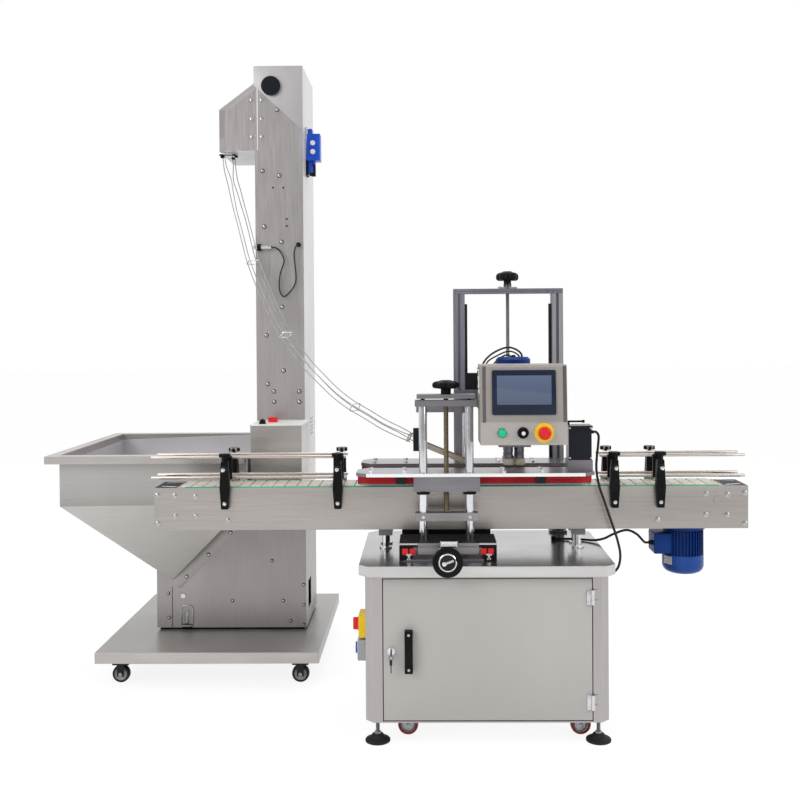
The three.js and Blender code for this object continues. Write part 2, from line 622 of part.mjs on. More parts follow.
function conveyorFrame() {
  const inner = conveyor.halfWidth - conveyor.plate;
  const plates = [-1, 1].map((side) => {
    const y0 = side < 0 ? -conveyor.halfWidth : inner;
    return cut(
      block(conveyor.left, conveyor.right, y0, y0 + conveyor.plate, conveyor.bottom, conveyor.top),
      rod(conveyor.shaftRadius + gap, [chainEnds[1], y0 - overrun, chainZ],
        [chainEnds[1], y0 + conveyor.plate + overrun, chainZ]),
    );
  });
  const length = conveyor.right - conveyor.left;
  const ties = conveyor.tieShares.map((share) => {
    const x = conveyor.left + share * length;
    return rod(conveyor.tieRadius, [x, -inner - bite, conveyor.tieZ], [x, inner + bite, conveyor.tieZ],
      smallSides);
  });
  const crosses = [support.leftX, support.rightX].map((x) => block(
    x - support.halfWidth, x + support.halfWidth, -inner - bite, inner + bite,
    conveyor.bottom, conveyor.bottom + support.crossThickness,
  ));
  const legs = [support.leftX, support.rightX].flatMap((x) => [-support.y, support.y].flatMap((y) => [
    block(x - support.halfWidth, x + support.halfWidth, y - support.halfDepth, y + support.halfDepth,
      conveyor.bottom - support.blockHeight, conveyor.bottom + bite),
    rod(support.postRadius, [x, y, tableTop + gap], [x, y, conveyor.bottom - support.blockHeight + bite],
      smallSides),
    rod(support.footRadius, [x, y, tableTop + gap], [x, y, tableTop + gap + support.footHeight],
      smallSides),
  ]));
  const idlerNose = rod(chainNoseRadius, [chainEnds[0], -inner - bite, chainZ],
    [chainEnds[0], inner + bite, chainZ]);
  const noseReach = Math.sqrt(conveyor.chainRadius ** 2
    - (conveyor.noseTop - conveyor.noseThickness - chainZ) ** 2) + conveyor.noseClearance;
  const nose = (x0, x1) => block(x0, x1, -inner - bite, inner + bite,
    conveyor.noseTop - conveyor.noseThickness, conveyor.noseTop);
  const noses = [
    nose(conveyor.left, chainEnds[0] - noseReach),
    nose(chainEnds[1] + noseReach, conveyor.right),
  ];
  const strips = [-1, 1].map((side) => {
    const outside = side * conveyor.halfWidth;
    const inside = side * (conveyor.halfWidth - conveyor.stripWidth);
    return block(chainEnds[0], chainEnds[1], Math.min(outside, inside), Math.max(outside, inside),
      conveyor.top - bite, conveyor.top + conveyor.stripHeight);
  });
  const brackets = railBracket.xs.flatMap((x) => [bracket(x, -1), bracket(x, 1)]);
  return join(...plates, ...ties, ...crosses, ...legs, idlerNose, ...noses, ...strips, ...brackets);
}

function slatChain() {
  const outer = stadium(...chainEnds, chainZ, conveyor.chainRadius);
  const inner = stadium(...chainEnds, chainZ, conveyor.chainRadius - conveyor.chainThickness);
  const half = conveyor.chainHalfWidth;
  return cut(prism('y', outer, -half, half), prism('y', inner, -half - overrun, half + overrun));
}

function driveShaft() {
  const x = chainEnds[1];
  const end = conveyor.halfWidth + bite;
  return join(
    rod(chainNoseRadius, [x, -conveyor.chainHalfWidth, chainZ], [x, conveyor.chainHalfWidth, chainZ]),
    rod(conveyor.shaftRadius, [x, -end, chainZ], [x, end, chainZ]),
  );
}

function motorOfConveyor() {
  const m = conveyorMotor;
  const flangeTop = conveyor.bottom - gap;
  const flangeLow = flangeTop - m.flangeThickness;
  const cowlTop = m.bottom + m.cowlHeight;
  const body = turned([
    [0, m.bottom], [m.radius - m.cowlRound, m.bottom], [m.radius, m.bottom + m.cowlRound],
    [m.radius, cowlTop], [m.radius - m.bodyInset, cowlTop], [m.radius - m.bodyInset, flangeLow],
    [m.flangeRadius, flangeLow], [m.flangeRadius, flangeTop], [0, flangeTop],
  ], m.x, 0, 0, fineSides);
  const boxTop = flangeLow - m.boxDrop;
  const boxLeft = m.x - m.radius - m.boxWidth;
  const glandZ = boxTop - m.boxHeight / 2;
  return join(
    body,
    block(boxLeft, m.x - m.radius / 2, -m.boxHalfDepth, m.boxHalfDepth, boxTop - m.boxHeight, boxTop),
    block(m.x - m.gearHalfWidth, m.x + m.gearHalfWidth, -m.gearHalfDepth, m.gearHalfDepth,
      flangeTop - bite, flangeTop + m.gearHeight),
    rod(m.glandRadius, [boxLeft + bite, conveyorCordRoute[0][1], glandZ],
      [boxLeft - m.glandLength, conveyorCordRoute[0][1], glandZ], smallSides),
  );
}

function guideRailSet(start, end, side) {
  const y = side * guideRail.y;
  const xs = railBracket.xs.filter((x) => x > start && x < end);
  const rods = [guideRail.upperZ, guideRail.lowerZ].map((z) => (
    rod(guideRail.radius, [start, y, z], [end, y, z], smallSides)));
  const clampLow = guideRail.lowerZ - guideRail.radius;
  const clampHigh = guideRail.upperZ + guideRail.radius;
  const clamps = xs.map((x) => {
    const y0 = y + side * guideRail.radius / 2;
    const y1 = y0 + side * guideRail.clampThickness;
    return join(
      block(x - guideRail.clampHalfWidth, x + guideRail.clampHalfWidth,
        Math.min(y0, y1), Math.max(y0, y1), clampLow, clampHigh),
      rod(guideRail.pinRadius, [x, y, railBracket.pinZ],
        [x, side * guideRail.pinReach, railBracket.pinZ], wireSides),
    );
  });
  return join(...rods, ...clamps);
}

add('conveyor_frame', conveyorFrame(), 'steel');
add('slat_chain', slatChain(), 'cream');
add('drive_shaft', driveShaft(), 'chrome');
add('conveyor_motor', motorOfConveyor(), 'blue');
for (const [row, side] of rowsOf) {
  add(`guide_rail_${row}_left`, guideRailSet(guideRail.leftStart, guideRail.leftEnd, side), 'chrome');
  add(`guide_rail_${row}_right`, guideRailSet(guideRail.rightStart, guideRail.rightEnd, side), 'chrome');
}

// Bottle grippers: a fixed one behind the conveyor, and one in front that slides and lifts

const plateTop = gripper.bottom + gripper.thickness;
const beltY = gripper.inner + gripper.beltInset + gripper.beltRadius;
const beltEnds = [
  gripper.left + gripper.beltInset + gripper.beltRadius,
  gripper.right - gripper.beltInset - gripper.beltRadius,
];

function sideBlock(x0, x1, side, near, far, z0, z1) {
  return block(x0, x1, Math.min(side * near, side * far), Math.max(side * near, side * far), z0, z1);
}

function gripperBody(side) {
  const g = gripper;
  const y0 = Math.min(side * g.inner, side * g.outer);
  const y1 = Math.max(side * g.inner, side * g.outer);
  const flangeHigh = g.beltLow - gap;
  const flangeLow = flangeHigh - g.flangeThickness;
  const coreRadius = g.beltRadius - g.beltThickness - gap;
  const length = g.right - g.left;
  const bolts = g.boltShares.flatMap((share) => g.boltRowShares.map((rowShare) => {
    const x = g.left + share * length;
    const y = side * (g.inner + rowShare * (g.outer - g.inner));
    return rod(g.boltRadius, [x, y, plateTop - bite], [x, y, plateTop + g.boltHeight], boltSides);
  }));
  const beltFace = beltY + g.beltRadius + gap;
  const presses = g.pressX.map((x) => sideBlock(x - g.pressHalfWidth, x + g.pressHalfWidth, side,
    beltFace, beltFace + g.pressThickness, g.beltLow, g.bottom + bite));
  const blockHalf = liftBlock.halfDepth;
  const lift = join(
    sideBlock(liftBlock.left, liftBlock.right, side, liftPost.y - blockHalf, liftPost.y + blockHalf,
      liftBlock.low, g.bottom + bite),
    ...[liftPost.leftX, liftPost.rightX].map((x) => rod(liftBlock.flangeRadius,
      [x, side * liftPost.y, liftBlock.low - liftBlock.flangeHeight],
      [x, side * liftPost.y, liftBlock.low + bite])),
  );
  return join(
    prism('z', chamfered(g.left, g.right, y0, y1, g.corner), g.bottom, plateTop),
    prism('z', stadium(...beltEnds, side * beltY, coreRadius), flangeLow, g.bottom + bite),
    prism('z', stadium(...beltEnds, side * beltY, g.beltRadius), flangeLow, flangeHigh),
    ...bolts, ...presses, lift,
  );
}

function movingGripper() {
  const low = liftBlock.low - liftBlock.flangeHeight - overrun;
  const bore = (radius, x) => rod(radius + gap, [x, -liftPost.y, low], [x, -liftPost.y, plateTop + overrun]);
  return join(
    cut(
      gripperBody(-1),
      bore(liftPost.radius, liftPost.leftX),
      bore(liftPost.radius, liftPost.rightX),
      bore(liftScrew.radius, liftScrew.x),
    ),
    motorOfGripper(),
  );
}

function gripperBelt(side) {
  const inner = gripper.beltRadius - gripper.beltThickness;
  return cut(
    prism('z', stadium(...beltEnds, side * beltY, gripper.beltRadius), gripper.beltLow, gripper.beltHigh),
    prism('z', stadium(...beltEnds, side * beltY, inner), gripper.beltLow - overrun,
      gripper.beltHigh + overrun),
  );
}

function postPair(side, low, high, topLow, topHigh, barLow, barHigh) {
  const y = side * liftPost.y;
  const left = liftPost.leftX - postBar.margin;
  const right = liftPost.rightX + postBar.margin;
  const bar = join(
    sideBlock(left, right, side, liftPost.y - postBar.halfDepth, liftPost.y + postBar.halfDepth,
      barLow, barHigh),
    ...[liftPost.leftX, liftPost.rightX].map((x) => rod(postBar.boltRadius,
      [x, y + side * (postBar.halfDepth - bite), (barLow + barHigh) / 2],
      [x, y + side * (postBar.halfDepth + postBar.boltReach), (barLow + barHigh) / 2], boltSides)),
  );
  return join(
    bar,
    ...[liftPost.leftX, liftPost.rightX].map((x) => rod(liftPost.radius, [x, y, low], [x, y, high])),
    sideBlock(left, right, side, liftPost.y - postBar.halfDepth, liftPost.y + postBar.halfDepth,
      topLow, topHigh),
  );
}

const railTop = slideBase.top - slideBase.plate;

function slideCarriage() {
  const s = slideBase;
  const y = -liftPost.y;
  const topLow = liftPost.high;
  const topHigh = topLow + postTop.lowHeight;
  const upperLow = topHigh + postTop.upperGap;
  const plateLeft = liftPost.leftX - postTop.margin;
  const plateRight = liftPost.rightX + postTop.margin;
  const body = join(
    block(s.left, s.right, s.front, s.back, railTop, s.top),
    block(liftScrew.x - s.nutHalfWidth, liftScrew.x + s.nutHalfWidth,
      y - s.nutHalfDepth, y + s.nutHalfDepth, s.nutLow, railTop + bite),
    postPair(-1, s.top - bite, topLow + bite, topLow, topHigh, postBar.low, postBar.high),
    ...[liftPost.leftX, liftPost.rightX].map((x) => rod(postTop.spacerRadius,
      [x, y, topHigh - bite], [x, y, upperLow + bite], smallSides)),
    block(plateLeft, plateRight, y - postTop.halfDepth, y + postTop.halfDepth, upperLow,
      upperLow + postTop.upperHeight),
  );
  return cut(
    body,
    rod(boreRadius(s.screwRadius, smallSides), [liftScrew.x, y - s.nutHalfDepth - overrun, s.screwZ],
      [liftScrew.x, y + s.nutHalfDepth + overrun, s.screwZ], smallSides),
    rod(liftScrew.radius + gap, [liftScrew.x, y, topLow - overrun],
      [liftScrew.x, y, upperLow + postTop.upperHeight + overrun]),
  );
}

function slideRails() {
  const s = slideBase;
  const low = tableTop + gap;
  const rail = (x0) => block(x0, x0 + s.railWidth, s.front, s.back, low, railTop - gap);
  const bearing = cut(
    block(liftScrew.x - s.bearingHalfWidth, liftScrew.x + s.bearingHalfWidth, s.front,
      s.front + s.bearingThickness, low, s.bearingTop),
    rod(boreRadius(s.screwRadius, smallSides), [liftScrew.x, s.front - overrun, s.screwZ],
      [liftScrew.x, s.front + s.bearingThickness + overrun, s.screwZ], smallSides),
  );
  return join(
    rail(s.left), rail(s.right - s.railWidth),
    block(s.left + bite, s.right - bite, s.front, s.back, low, low + s.floorPlate),
    bearing,
  );
}

function knobAndScrew(k, x, y, screwLow, knobBottom) {
  const top = k.knobLow + k.knobHeight;
  return join(
    rod(k.radius, [x, y, screwLow], [x, y, k.knobLow + bite]),
    rod(k.hubRadius, [x, y, knobBottom], [x, y, top], smallSides),
    prism('z', shift(star(k.knobRadius, k.lobes, k.lobeShare), x, y), k.knobLow, top),
  );
}

function handwheelAndScrew() {
  const h = handwheel;
  const z = slideBase.screwZ;
  const at = (y) => [liftScrew.x, y, z];
  const front = h.y - h.thickness / 2;
  const back = h.y + h.thickness / 2;
  const wheel = cut(
    rod(h.radius, at(front), at(back), fineSides),
    rod(h.radius - h.rimWidth, at(front - overrun), at(front + h.dishDepth), fineSides),
  );
  return join(
    wheel,
    rod(h.hubRadius, at(front + h.dishDepth - bite), at(slideBase.front - gap)),
    rod(slideBase.screwRadius, at(back), at(h.screwEnd), smallSides),
  );
}

function motorOfGripper() {
  const m = gripperMotor;
  const low = plateTop - bite;
  const bodyTop = m.high - m.capHeight;
  return join(
    block(m.left - m.capInset, m.right, m.y - m.halfDepth, m.y + m.halfDepth, low, low + m.blockHeight),
    block(m.left, m.right - m.capInset, m.y - m.halfDepth + m.capInset, m.y + m.halfDepth - m.capInset,
      low + m.blockHeight - bite, bodyTop + bite),
    block(m.left, m.right, m.y - m.halfDepth, m.y + m.halfDepth, bodyTop, m.high),
    rod(m.glandRadius, [m.right - m.capInset - bite, m.y, m.glandZ],
      [m.right + m.glandLength, m.y, m.glandZ], smallSides),
  );
}

function rearGripper() {
  const bar = postBar.high - postBar.low;
  const upperLow = liftPost.high - bar - postTop.lowHeight;
  const footLow = tableTop + gap;
  const s = slideBase;
  return join(
    gripperBody(1),
    postPair(1, footLow + bite, upperLow + bar, upperLow, upperLow + bar, postBar.low, postBar.high),
    sideBlock(s.left, s.right, 1, -s.back, liftPost.y + postBar.halfDepth + bite, footLow,
      footLow + s.railWidth),
  );
}

add('slide_base', slideRails(), 'black');
add('gripper_posts', slideCarriage(), 'chrome');
add('handwheel', handwheelAndScrew(), 'black');
const upperPlateTop = liftPost.high + postTop.lowHeight + postTop.upperGap + postTop.upperHeight;
add('lift_screw', knobAndScrew(liftScrew, liftScrew.x, -liftPost.y, postBar.high + gap,
  upperPlateTop + gap), 'brass');
add('front_gripper', movingGripper(), 'aluminium');
add('front_belt', gripperBelt(-1), 'red');
add('rear_gripper', rearGripper(), 'aluminium');
add('rear_belt', gripperBelt(1), 'red');

// Portal with the capping head and the operator's panel

const portalBack = portal.front + portal.post;
const postInner = [portal.left + portal.post, portal.right - portal.post];
const beamLow = portal.top - portal.beam;
const lockTop = portal.top + portal.lockHeight;

function portalFrame() {
  const p = portal;
  const low = tableTop + gap;
  const railMiddle = p.front + p.post / 2;
  const posts = [p.left, postInner[1]].map((x) => {
    const middle = x + p.post / 2;
    return cut(
      block(x, x + p.post, p.front, portalBack, low, beamLow + bite),
      block(middle - p.groove / 2, middle + p.groove / 2, p.front - overrun, p.front + p.grooveDepth,
        low + p.footPlate, beamLow),
    );
  });
  const rails = [[postInner[0] - bite, postInner[0] + p.railThickness],
    [postInner[1] - p.railThickness, postInner[1] + bite]].map(([x0, x1]) => (
    block(x0, x1, railMiddle - p.railWidth / 2, railMiddle + p.railWidth / 2,
      p.railLow, beamLow - p.railTopDrop)));
  const feet = [p.left, postInner[1]].map((x) => block(x - p.footMargin, x + p.post + p.footMargin,
    p.front - bite, portalBack + bite, low, low + p.footPlate));
  const ear = block(headScrew.x - p.earHalfLength, headScrew.x + p.earHalfLength,
    headScrew.y - p.earHalfDepth, headScrew.y + p.earHalfDepth, p.top - bite, p.top + p.earThickness);
  return cut(
    join(
      ...posts, ...rails, ...feet, ear, capTrackOnBar(),
      block(p.left, p.right, p.front, portalBack, beamLow, p.top),
      rod(p.lockRadius, [headScrew.x, headScrew.y, p.top - bite], [headScrew.x, headScrew.y, lockTop]),
    ),
    rod(headScrew.radius + gap, [headScrew.x, headScrew.y, beamLow - overrun],
      [headScrew.x, headScrew.y, lockTop + overrun]),
  );
}

// Sloping track that hands the caps over, with the bar that carries it and the clamp at its upper end
function capTrackOnBar() {
  const t = capTrack;
  const [x0, y, z0] = t.start;
  const [x1, , z1] = t.end;
  const strip = (low, high) => [[x0, z0 + low], [x1, z1 + low], [x1, z1 + high], [x0, z0 + high]];
  const front = y - t.halfWidth - t.lipThickness;
  const back = y + t.halfWidth + t.lipThickness;
  const barLeft = t.barX - t.barHalf;
  const barRight = t.barX + t.barHalf;
  return join(
    prism('y', strip(-t.thickness, 0), y - t.halfWidth - bite, y + t.halfWidth + bite),
    prism('y', strip(-t.thickness, t.lip), front, y - t.halfWidth),
    prism('y', strip(-t.thickness, t.lip), y + t.halfWidth, back),
    block(barLeft, barRight, back - bite, back + t.barThickness, t.dropLow, t.barHigh),
    block(barLeft, barRight, back + bite, portal.front + bite, t.barLow, t.barHigh - bite),
    block(x0 + bite, x0 + t.clampWidth, front - t.clampThickness, front + bite, t.clampLow, t.clampHigh),
  );
}

function headCarriage() {
  const h = head;
  const p = portal;
  const middle = p.front + p.post / 2;
  const x0 = postInner[0] + gap;
  const x1 = postInner[1] - gap;
  const channel = p.railThickness + gap;
  const railHalf = p.railWidth / 2 + gap;
  const slider = cut(
    block(x0, x1, middle - h.sliderHalfDepth, middle + h.sliderHalfDepth, h.sliderLow, h.sliderHigh),
    block(x0 - overrun, postInner[0] + channel, middle - railHalf, middle + railHalf,
      h.sliderLow - overrun, h.sliderHigh + overrun),
    block(postInner[1] - channel, x1 + overrun, middle - railHalf, middle + railHalf,
      h.sliderLow - overrun, h.sliderHigh + overrun),
    rod(headScrew.radius + gap, [headScrew.x, headScrew.y, h.sliderLow - overrun],
      [headScrew.x, headScrew.y, h.sliderHigh + overrun]),
  );
  const motor = turned([
    [0, 0], [h.motorRadius, 0], [h.motorRadius, h.motorHigh - h.boxHigh - h.motorRound],
    [h.motorRadius - h.motorRound, h.motorHigh - h.boxHigh], [0, h.motorHigh - h.boxHigh],
  ], headScrew.x, 0, h.boxHigh - bite, fineSides);
  const box = cut(
    block(headScrew.x - h.boxHalfWidth, headScrew.x + h.boxHalfWidth, -h.boxHalfDepth, h.boxHalfDepth,
      h.boxLow, h.boxHigh),
    ...spindlePlaces.map(({ x, y }) => rod(boreRadius(spindle.shaftRadius, smallSides),
      [x, y, h.boxLow - overrun], [x, y, h.boxLow + spindle.shaftEngage + overrun], smallSides)),
  );
  const lead = rod(h.leadRadius, [headScrew.x, -h.leadOffset, h.motorHigh - overrun],
    [headScrew.x, -h.leadOffset, h.motorHigh + h.leadHeight], smallSides);
  return join(
    slider, motor, box, lead,
    block(headScrew.x - h.armHalfWidth, headScrew.x + h.armHalfWidth, h.armFront,
      middle - h.sliderHalfDepth + bite, h.armLow, h.armHigh),
  );
}

const spindlePlaces = sidesOf.flatMap(([sideName, side]) => rowsOf.map(([rowName, row]) => ({
  name: `spindle_${rowName}_${sideName}`,
  x: headScrew.x + (side * spindle.spacing) / 2,
  y: row * spindle.rowY,
})));

function capSpindle({ x, y }) {
  const s = spindle;
  const wheelTop = s.wheelLow + s.wheelHeight;
  return join(
    rod(s.shaftRadius, [x, y, wheelTop - bite], [x, y, head.boxLow + s.shaftEngage], smallSides),
    rod(s.bodyRadius, [x, y, wheelTop - bite], [x, y, head.boxLow - gap]),
    rod(s.wheelRadius, [x, y, s.wheelLow], [x, y, wheelTop]),
    rod(s.tipRadius, [x, y, s.wheelLow - s.tipHeight], [x, y, s.wheelLow + bite], smallSides),
  );
}

function faceY(z) {
  return hmi.front + (hmi.lean * Math.max(0, z - hmiFold)) / (hmi.high - hmiFold);
}

function hmiBox() {
  const h = hmi;
  const outline = [
    [h.back, h.low], [h.back, h.high], [faceY(h.high), h.high], [h.front, hmiFold], [h.front, h.low],
  ];
  const shell = cut(
    prism('x', outline, h.left, h.right),
    prism('x', inset(outline, h.sheet), h.left + h.sheet, h.right - h.sheet),
  );
  const at = (x, y) => [x, y, button.z];
  const ring = (x, radius, height) => rod(radius, at(x, h.front + bite), at(x, h.front - height));
  const hole = (x, radius) => rod(radius + gap, at(x, h.front - overrun - selector.collarHeight),
    at(x, h.front + h.sheet + overrun));
  const armLeft = h.left + h.armInset;
  const armBack = portal.front - gap;
  const arm = join(
    block(armLeft, armLeft + h.armWidth, h.back - bite, armBack, h.armLow, h.armHigh),
    block(portal.left, armLeft + h.armWidth, armBack - h.bracket, armBack, h.armLow, h.armHigh),
  );
  const trackBar = block(portal.left - overrun, capTrack.barX + capTrack.barHalf + gap,
    armBack - h.bracket - overrun, armBack + overrun, h.armLow - overrun, capTrack.barHigh + gap);
  return cut(
    join(
      shell, cut(arm, trackBar),
      ring(startButton.x, startButton.collar, startButton.collarHeight),
      ring(selector.x, selector.collar, selector.collarHeight),
      ring(emergencyStop.x, emergencyStop.ringRadius, emergencyStop.ringHeight),
    ),
    hole(startButton.x, startButton.radius),
    hole(selector.x, selector.radius),
    hole(emergencyStop.x, emergencyStop.neckRadius),
  );
}

function touchScreen() {
  const s = screen;
  const back = (z) => faceY(z) - gap;
  return prism('x', [
    [back(s.low), s.low], [back(s.high), s.high], [back(s.high) - s.thickness, s.high],
    [back(s.low) - s.thickness, s.low],
  ], s.left, s.right);
}

function panelStem(x, radius, y0, y1) {
  return rod(radius, [x, y0, button.z], [x, y1, button.z]);
}

add('portal_frame', portalFrame(), 'aluminium');
add('head_screw', knobAndScrew(headScrew, headScrew.x, headScrew.y, headScrew.low,
  lockTop + gap), 'brass');
add('head_carriage', headCarriage(), 'blue');
spindlePlaces.forEach((place) => add(place.name, capSpindle(place), 'cream'));
add('hmi_box', hmiBox(), 'taupe');
add('touch_screen', touchScreen(), 'glass');
add('start_button', panelStem(startButton.x, startButton.radius,
  hmi.front - startButton.collarHeight - startButton.rise, hmi.front + button.stemLength), 'green');
const selectorFace = hmi.front - selector.collarHeight - selector.rise;
add('selector_switch', join(
  panelStem(selector.x, selector.radius, selectorFace, hmi.front + button.stemLength),
  block(selector.x - selector.gripWidth / 2, selector.x + selector.gripWidth / 2,
    selectorFace - selector.gripRise, selectorFace + bite,
    button.z - selector.radius + bite, button.z + selector.radius - bite),
), 'black');
const stopBack = hmi.front - emergencyStop.ringHeight - emergencyStop.headLow;
add('emergency_stop', join(
  panelStem(emergencyStop.x, emergencyStop.headRadius, stopBack, stopBack - emergencyStop.headHeight),
  panelStem(emergencyStop.x, emergencyStop.neckRadius, stopBack - bite, hmi.front + button.stemLength),
), 'stopRed');

// Cap elevator: platform on casters, boot, column, belt, hopper and the boxes on the column

const notchTop = boot.tipZ + (column.left - boot.tipX);
const columnLow = notchTop + gap;
const hopperSlope = (hopper.wallLow - boot.tipZ) / (boot.tipX - hopper.left);
const drumY = (boot.front + boot.back) / 2;

function elevatorPlatform() {
  const p = platform;
  const casters = casterPlaces.map(({ x, y }) => (
    casterFork(x, y, elevatorWheel.radius, p.bottom + bite, elevatorWheel)));
  const plates = casterPlaces.map(({ x, y, edgeX, edgeY }) => block(
    Math.min(edgeX, x - p.casterPlate), Math.max(edgeX, x + p.casterPlate),
    Math.min(edgeY, y - p.casterPlate), Math.max(edgeY, y + p.casterPlate),
    p.bottom, p.bottom + p.casterPlateThickness));
  const pan = cut(
    block(p.left, p.right, p.front, p.back, p.bottom, p.top),
    block(p.left + p.sheet, p.right - p.sheet, p.front + p.sheet, p.back - p.sheet, p.bottom - overrun,
      p.top - p.sheet),
  );
  return join(pan, ...plates, ...casters);
}

const casterPlaces = [
  ['front', platform.front, 1], ['rear', platform.back, -1],
].flatMap(([rowName, edgeY, inY]) => [
  ['left', platform.left, 1], ['right', platform.right, -1],
].map(([sideName, edgeX, inX]) => ({
  name: `elevator_wheel_${rowName}_${sideName}`,
  edgeX,
  edgeY,
  x: edgeX + inX * platform.casterInset,
  y: edgeY + inY * platform.casterInset,
})));

function bootHousing() {
  const b = boot;
  const outline = [
    [b.left, b.bottom], [column.right, b.bottom], [column.right, notchTop], [column.left, notchTop],
    [b.tipX, b.tipZ], [b.left, b.tipZ + (b.tipX - b.left) * hopperSlope],
  ];
  const inside = b.sheet + column.sheet;
  const shaftHole = rod(boreRadius(drum.shaftRadius, smallSides),
    [capBelt.tailX, b.front - overrun, capBelt.tailZ],
    [capBelt.tailX, b.back + overrun, capBelt.tailZ], smallSides);
  return join(
    cut(
      prism('y', outline, b.front, b.back),
      prism('y', inset(outline, b.sheet), b.front + b.sheet, b.back - b.sheet),
      block(column.left + inside, column.right - b.sheet, b.front + b.sheet, b.back - b.sheet,
        notchTop - inside - overrun, notchTop + overrun),
      block(b.tipX - b.mouthHalf, b.tipX + b.mouthHalf, b.front + 2 * inside, b.back - 2 * inside,
        b.tipZ - inside - overrun, b.tipZ + b.mouthHalf + overrun),
      block(column.right - b.sheet - overrun, column.right + overrun, b.ventY, b.ventY + b.ventLength,
        b.ventLow, b.ventHigh),
      shaftHole,
    ),
    block(b.left + b.plinthInset, column.right - b.plinthInset, b.front + b.plinthInset,
      b.back - b.plinthInset, platform.top + gap, b.bottom + bite),
  );
}

function columnHousing() {
  const c = column;
  const headShaft = (from, to) => rod(boreRadius(drum.shaftRadius, smallSides),
    [capBelt.headX, from, capBelt.headZ],
    [capBelt.headX, to, capBelt.headZ], smallSides);
  const shell = cut(
    block(c.left, c.right, boot.front, boot.back, columnLow, c.top),
    block(c.left + c.sheet, c.right - c.sheet, boot.front + c.sheet, boot.back - c.sheet,
      columnLow - overrun, c.top - c.sheet),
    block(c.left - overrun, c.left + c.sheet + overrun, boot.front + c.slotInset, boot.back - c.slotInset,
      c.slotLow, c.slotHigh),
  );
  const cap = rod(c.capRadius, [capBelt.headX, boot.front + bite, capBelt.headZ],
    [capBelt.headX, boot.front - c.capThickness, capBelt.headZ], fineSides);
  const sensor = join(
    rod(c.sensorRadius, [c.sensorLeft, c.sensorY, c.sensorZ], [c.sensorRight, c.sensorY, c.sensorZ],
      smallSides),
    rod(c.nutRadius, [c.sensorLeft + c.nutWidth, c.sensorY, c.sensorZ],
      [c.sensorLeft + 2 * c.nutWidth, c.sensorY, c.sensorZ], foot.nutSides),
    block(c.sensorLeft + c.nutWidth, c.sensorLeft + c.nutWidth + c.bracketHalfWidth, c.sensorY,
      boot.front + bite, c.sensorZ - c.bracketHalfHeight, c.sensorZ + c.bracketHalfHeight),
  );
  return join(
    cut(join(shell, cap), headShaft(boot.front - c.capHoleDepth, boot.back + overrun)),
    sensor,
    rod(c.glandRadius, [c.glandX, boot.front + bite, c.glandZ],
      [c.glandX, boot.front - c.glandReach, c.glandZ], smallSides),
  );
}

function beltLoop(radius) {
  const c = capBelt;
  const bend = Math.tan(Math.PI / 8) * radius;
  const bendZ = c.tailZ + (c.headX - c.tailX);
  return [
    [c.headX + radius, bendZ - bend],
    ...arc(c.headX, c.headZ, radius, 0, Math.PI, 12),
    [c.headX - radius, bendZ + bend],
    ...arc(c.tailX, c.tailZ, radius, (3 * Math.PI) / 4, (7 * Math.PI) / 4, 12),
  ];
}

function capBeltLoop() {
  const c = capBelt;
  const outer = c.radius + c.thickness;
  const count = Math.floor((c.headZ - c.cleatStart) / c.cleatPitch) + 1;
  const cleats = sidesOf.flatMap(([, side]) => Array.from({ length: count }, (_, i) => {
    const z = c.cleatStart + i * c.cleatPitch;
    const near = c.headX + side * (outer - bite);
    const far = c.headX + side * (outer + c.cleatHeight);
    return block(Math.min(near, far), Math.max(near, far), drumY - c.halfWidth, drumY + c.halfWidth,
      z, z + c.cleatThickness);
  }));
  return join(
    cut(
      prism('y', beltLoop(outer), drumY - c.halfWidth, drumY + c.halfWidth),
      prism('y', beltLoop(c.radius), drumY - c.halfWidth - overrun, drumY + c.halfWidth + overrun),
    ),
    ...cleats,
  );
}

function beltDrum(x, z, shaftFront) {
  return join(
    rod(capBelt.radius - drum.play, [x, drumY - drum.halfWidth, z], [x, drumY + drum.halfWidth, z]),
    rod(drum.shaftRadius, [x, shaftFront, z], [x, boot.back + bite, z], smallSides),
  );
}

function hopperBody() {
  const h = hopper;
  const right = column.left - gap;
  const tipZ = boot.tipZ + h.seat;
  const rightLow = tipZ + (right - boot.tipX);
  const wall = (margin, top) => hull([
    ...[h.left + margin, right - margin].flatMap((x) => (
      [h.front + margin, h.back - margin].map((y) => [x, y, top]))),
    ...[h.front + margin, h.back - margin].flatMap((y) => [
      [h.left + margin, y, h.wallLow + margin / 2],
      [right - margin, y, rightLow + margin / 2],
    ]),
    ...[boot.front + margin, boot.back - margin].map((y) => [boot.tipX, y, tipZ + margin * Math.SQRT2]),
  ]);
  const rim = cut(
    block(h.left - h.rim, right, h.front - h.rim, h.back + h.rim, h.rimLow, h.rimHigh),
    block(h.left + h.sheet, right - h.sheet, h.front + h.sheet, h.back - h.sheet, h.rimLow - overrun,
      h.rimHigh + overrun),
  );
  return join(
    cut(
      wall(0, h.rimHigh - bite),
      wall(h.sheet, h.rimHigh + overrun),
      block(boot.tipX - h.mouthHalf, boot.tipX + h.mouthHalf, boot.front + 4 * h.sheet,
        boot.back - 4 * h.sheet, tipZ - overrun, tipZ + h.mouthHalf),
    ),
    rim,
  );
}

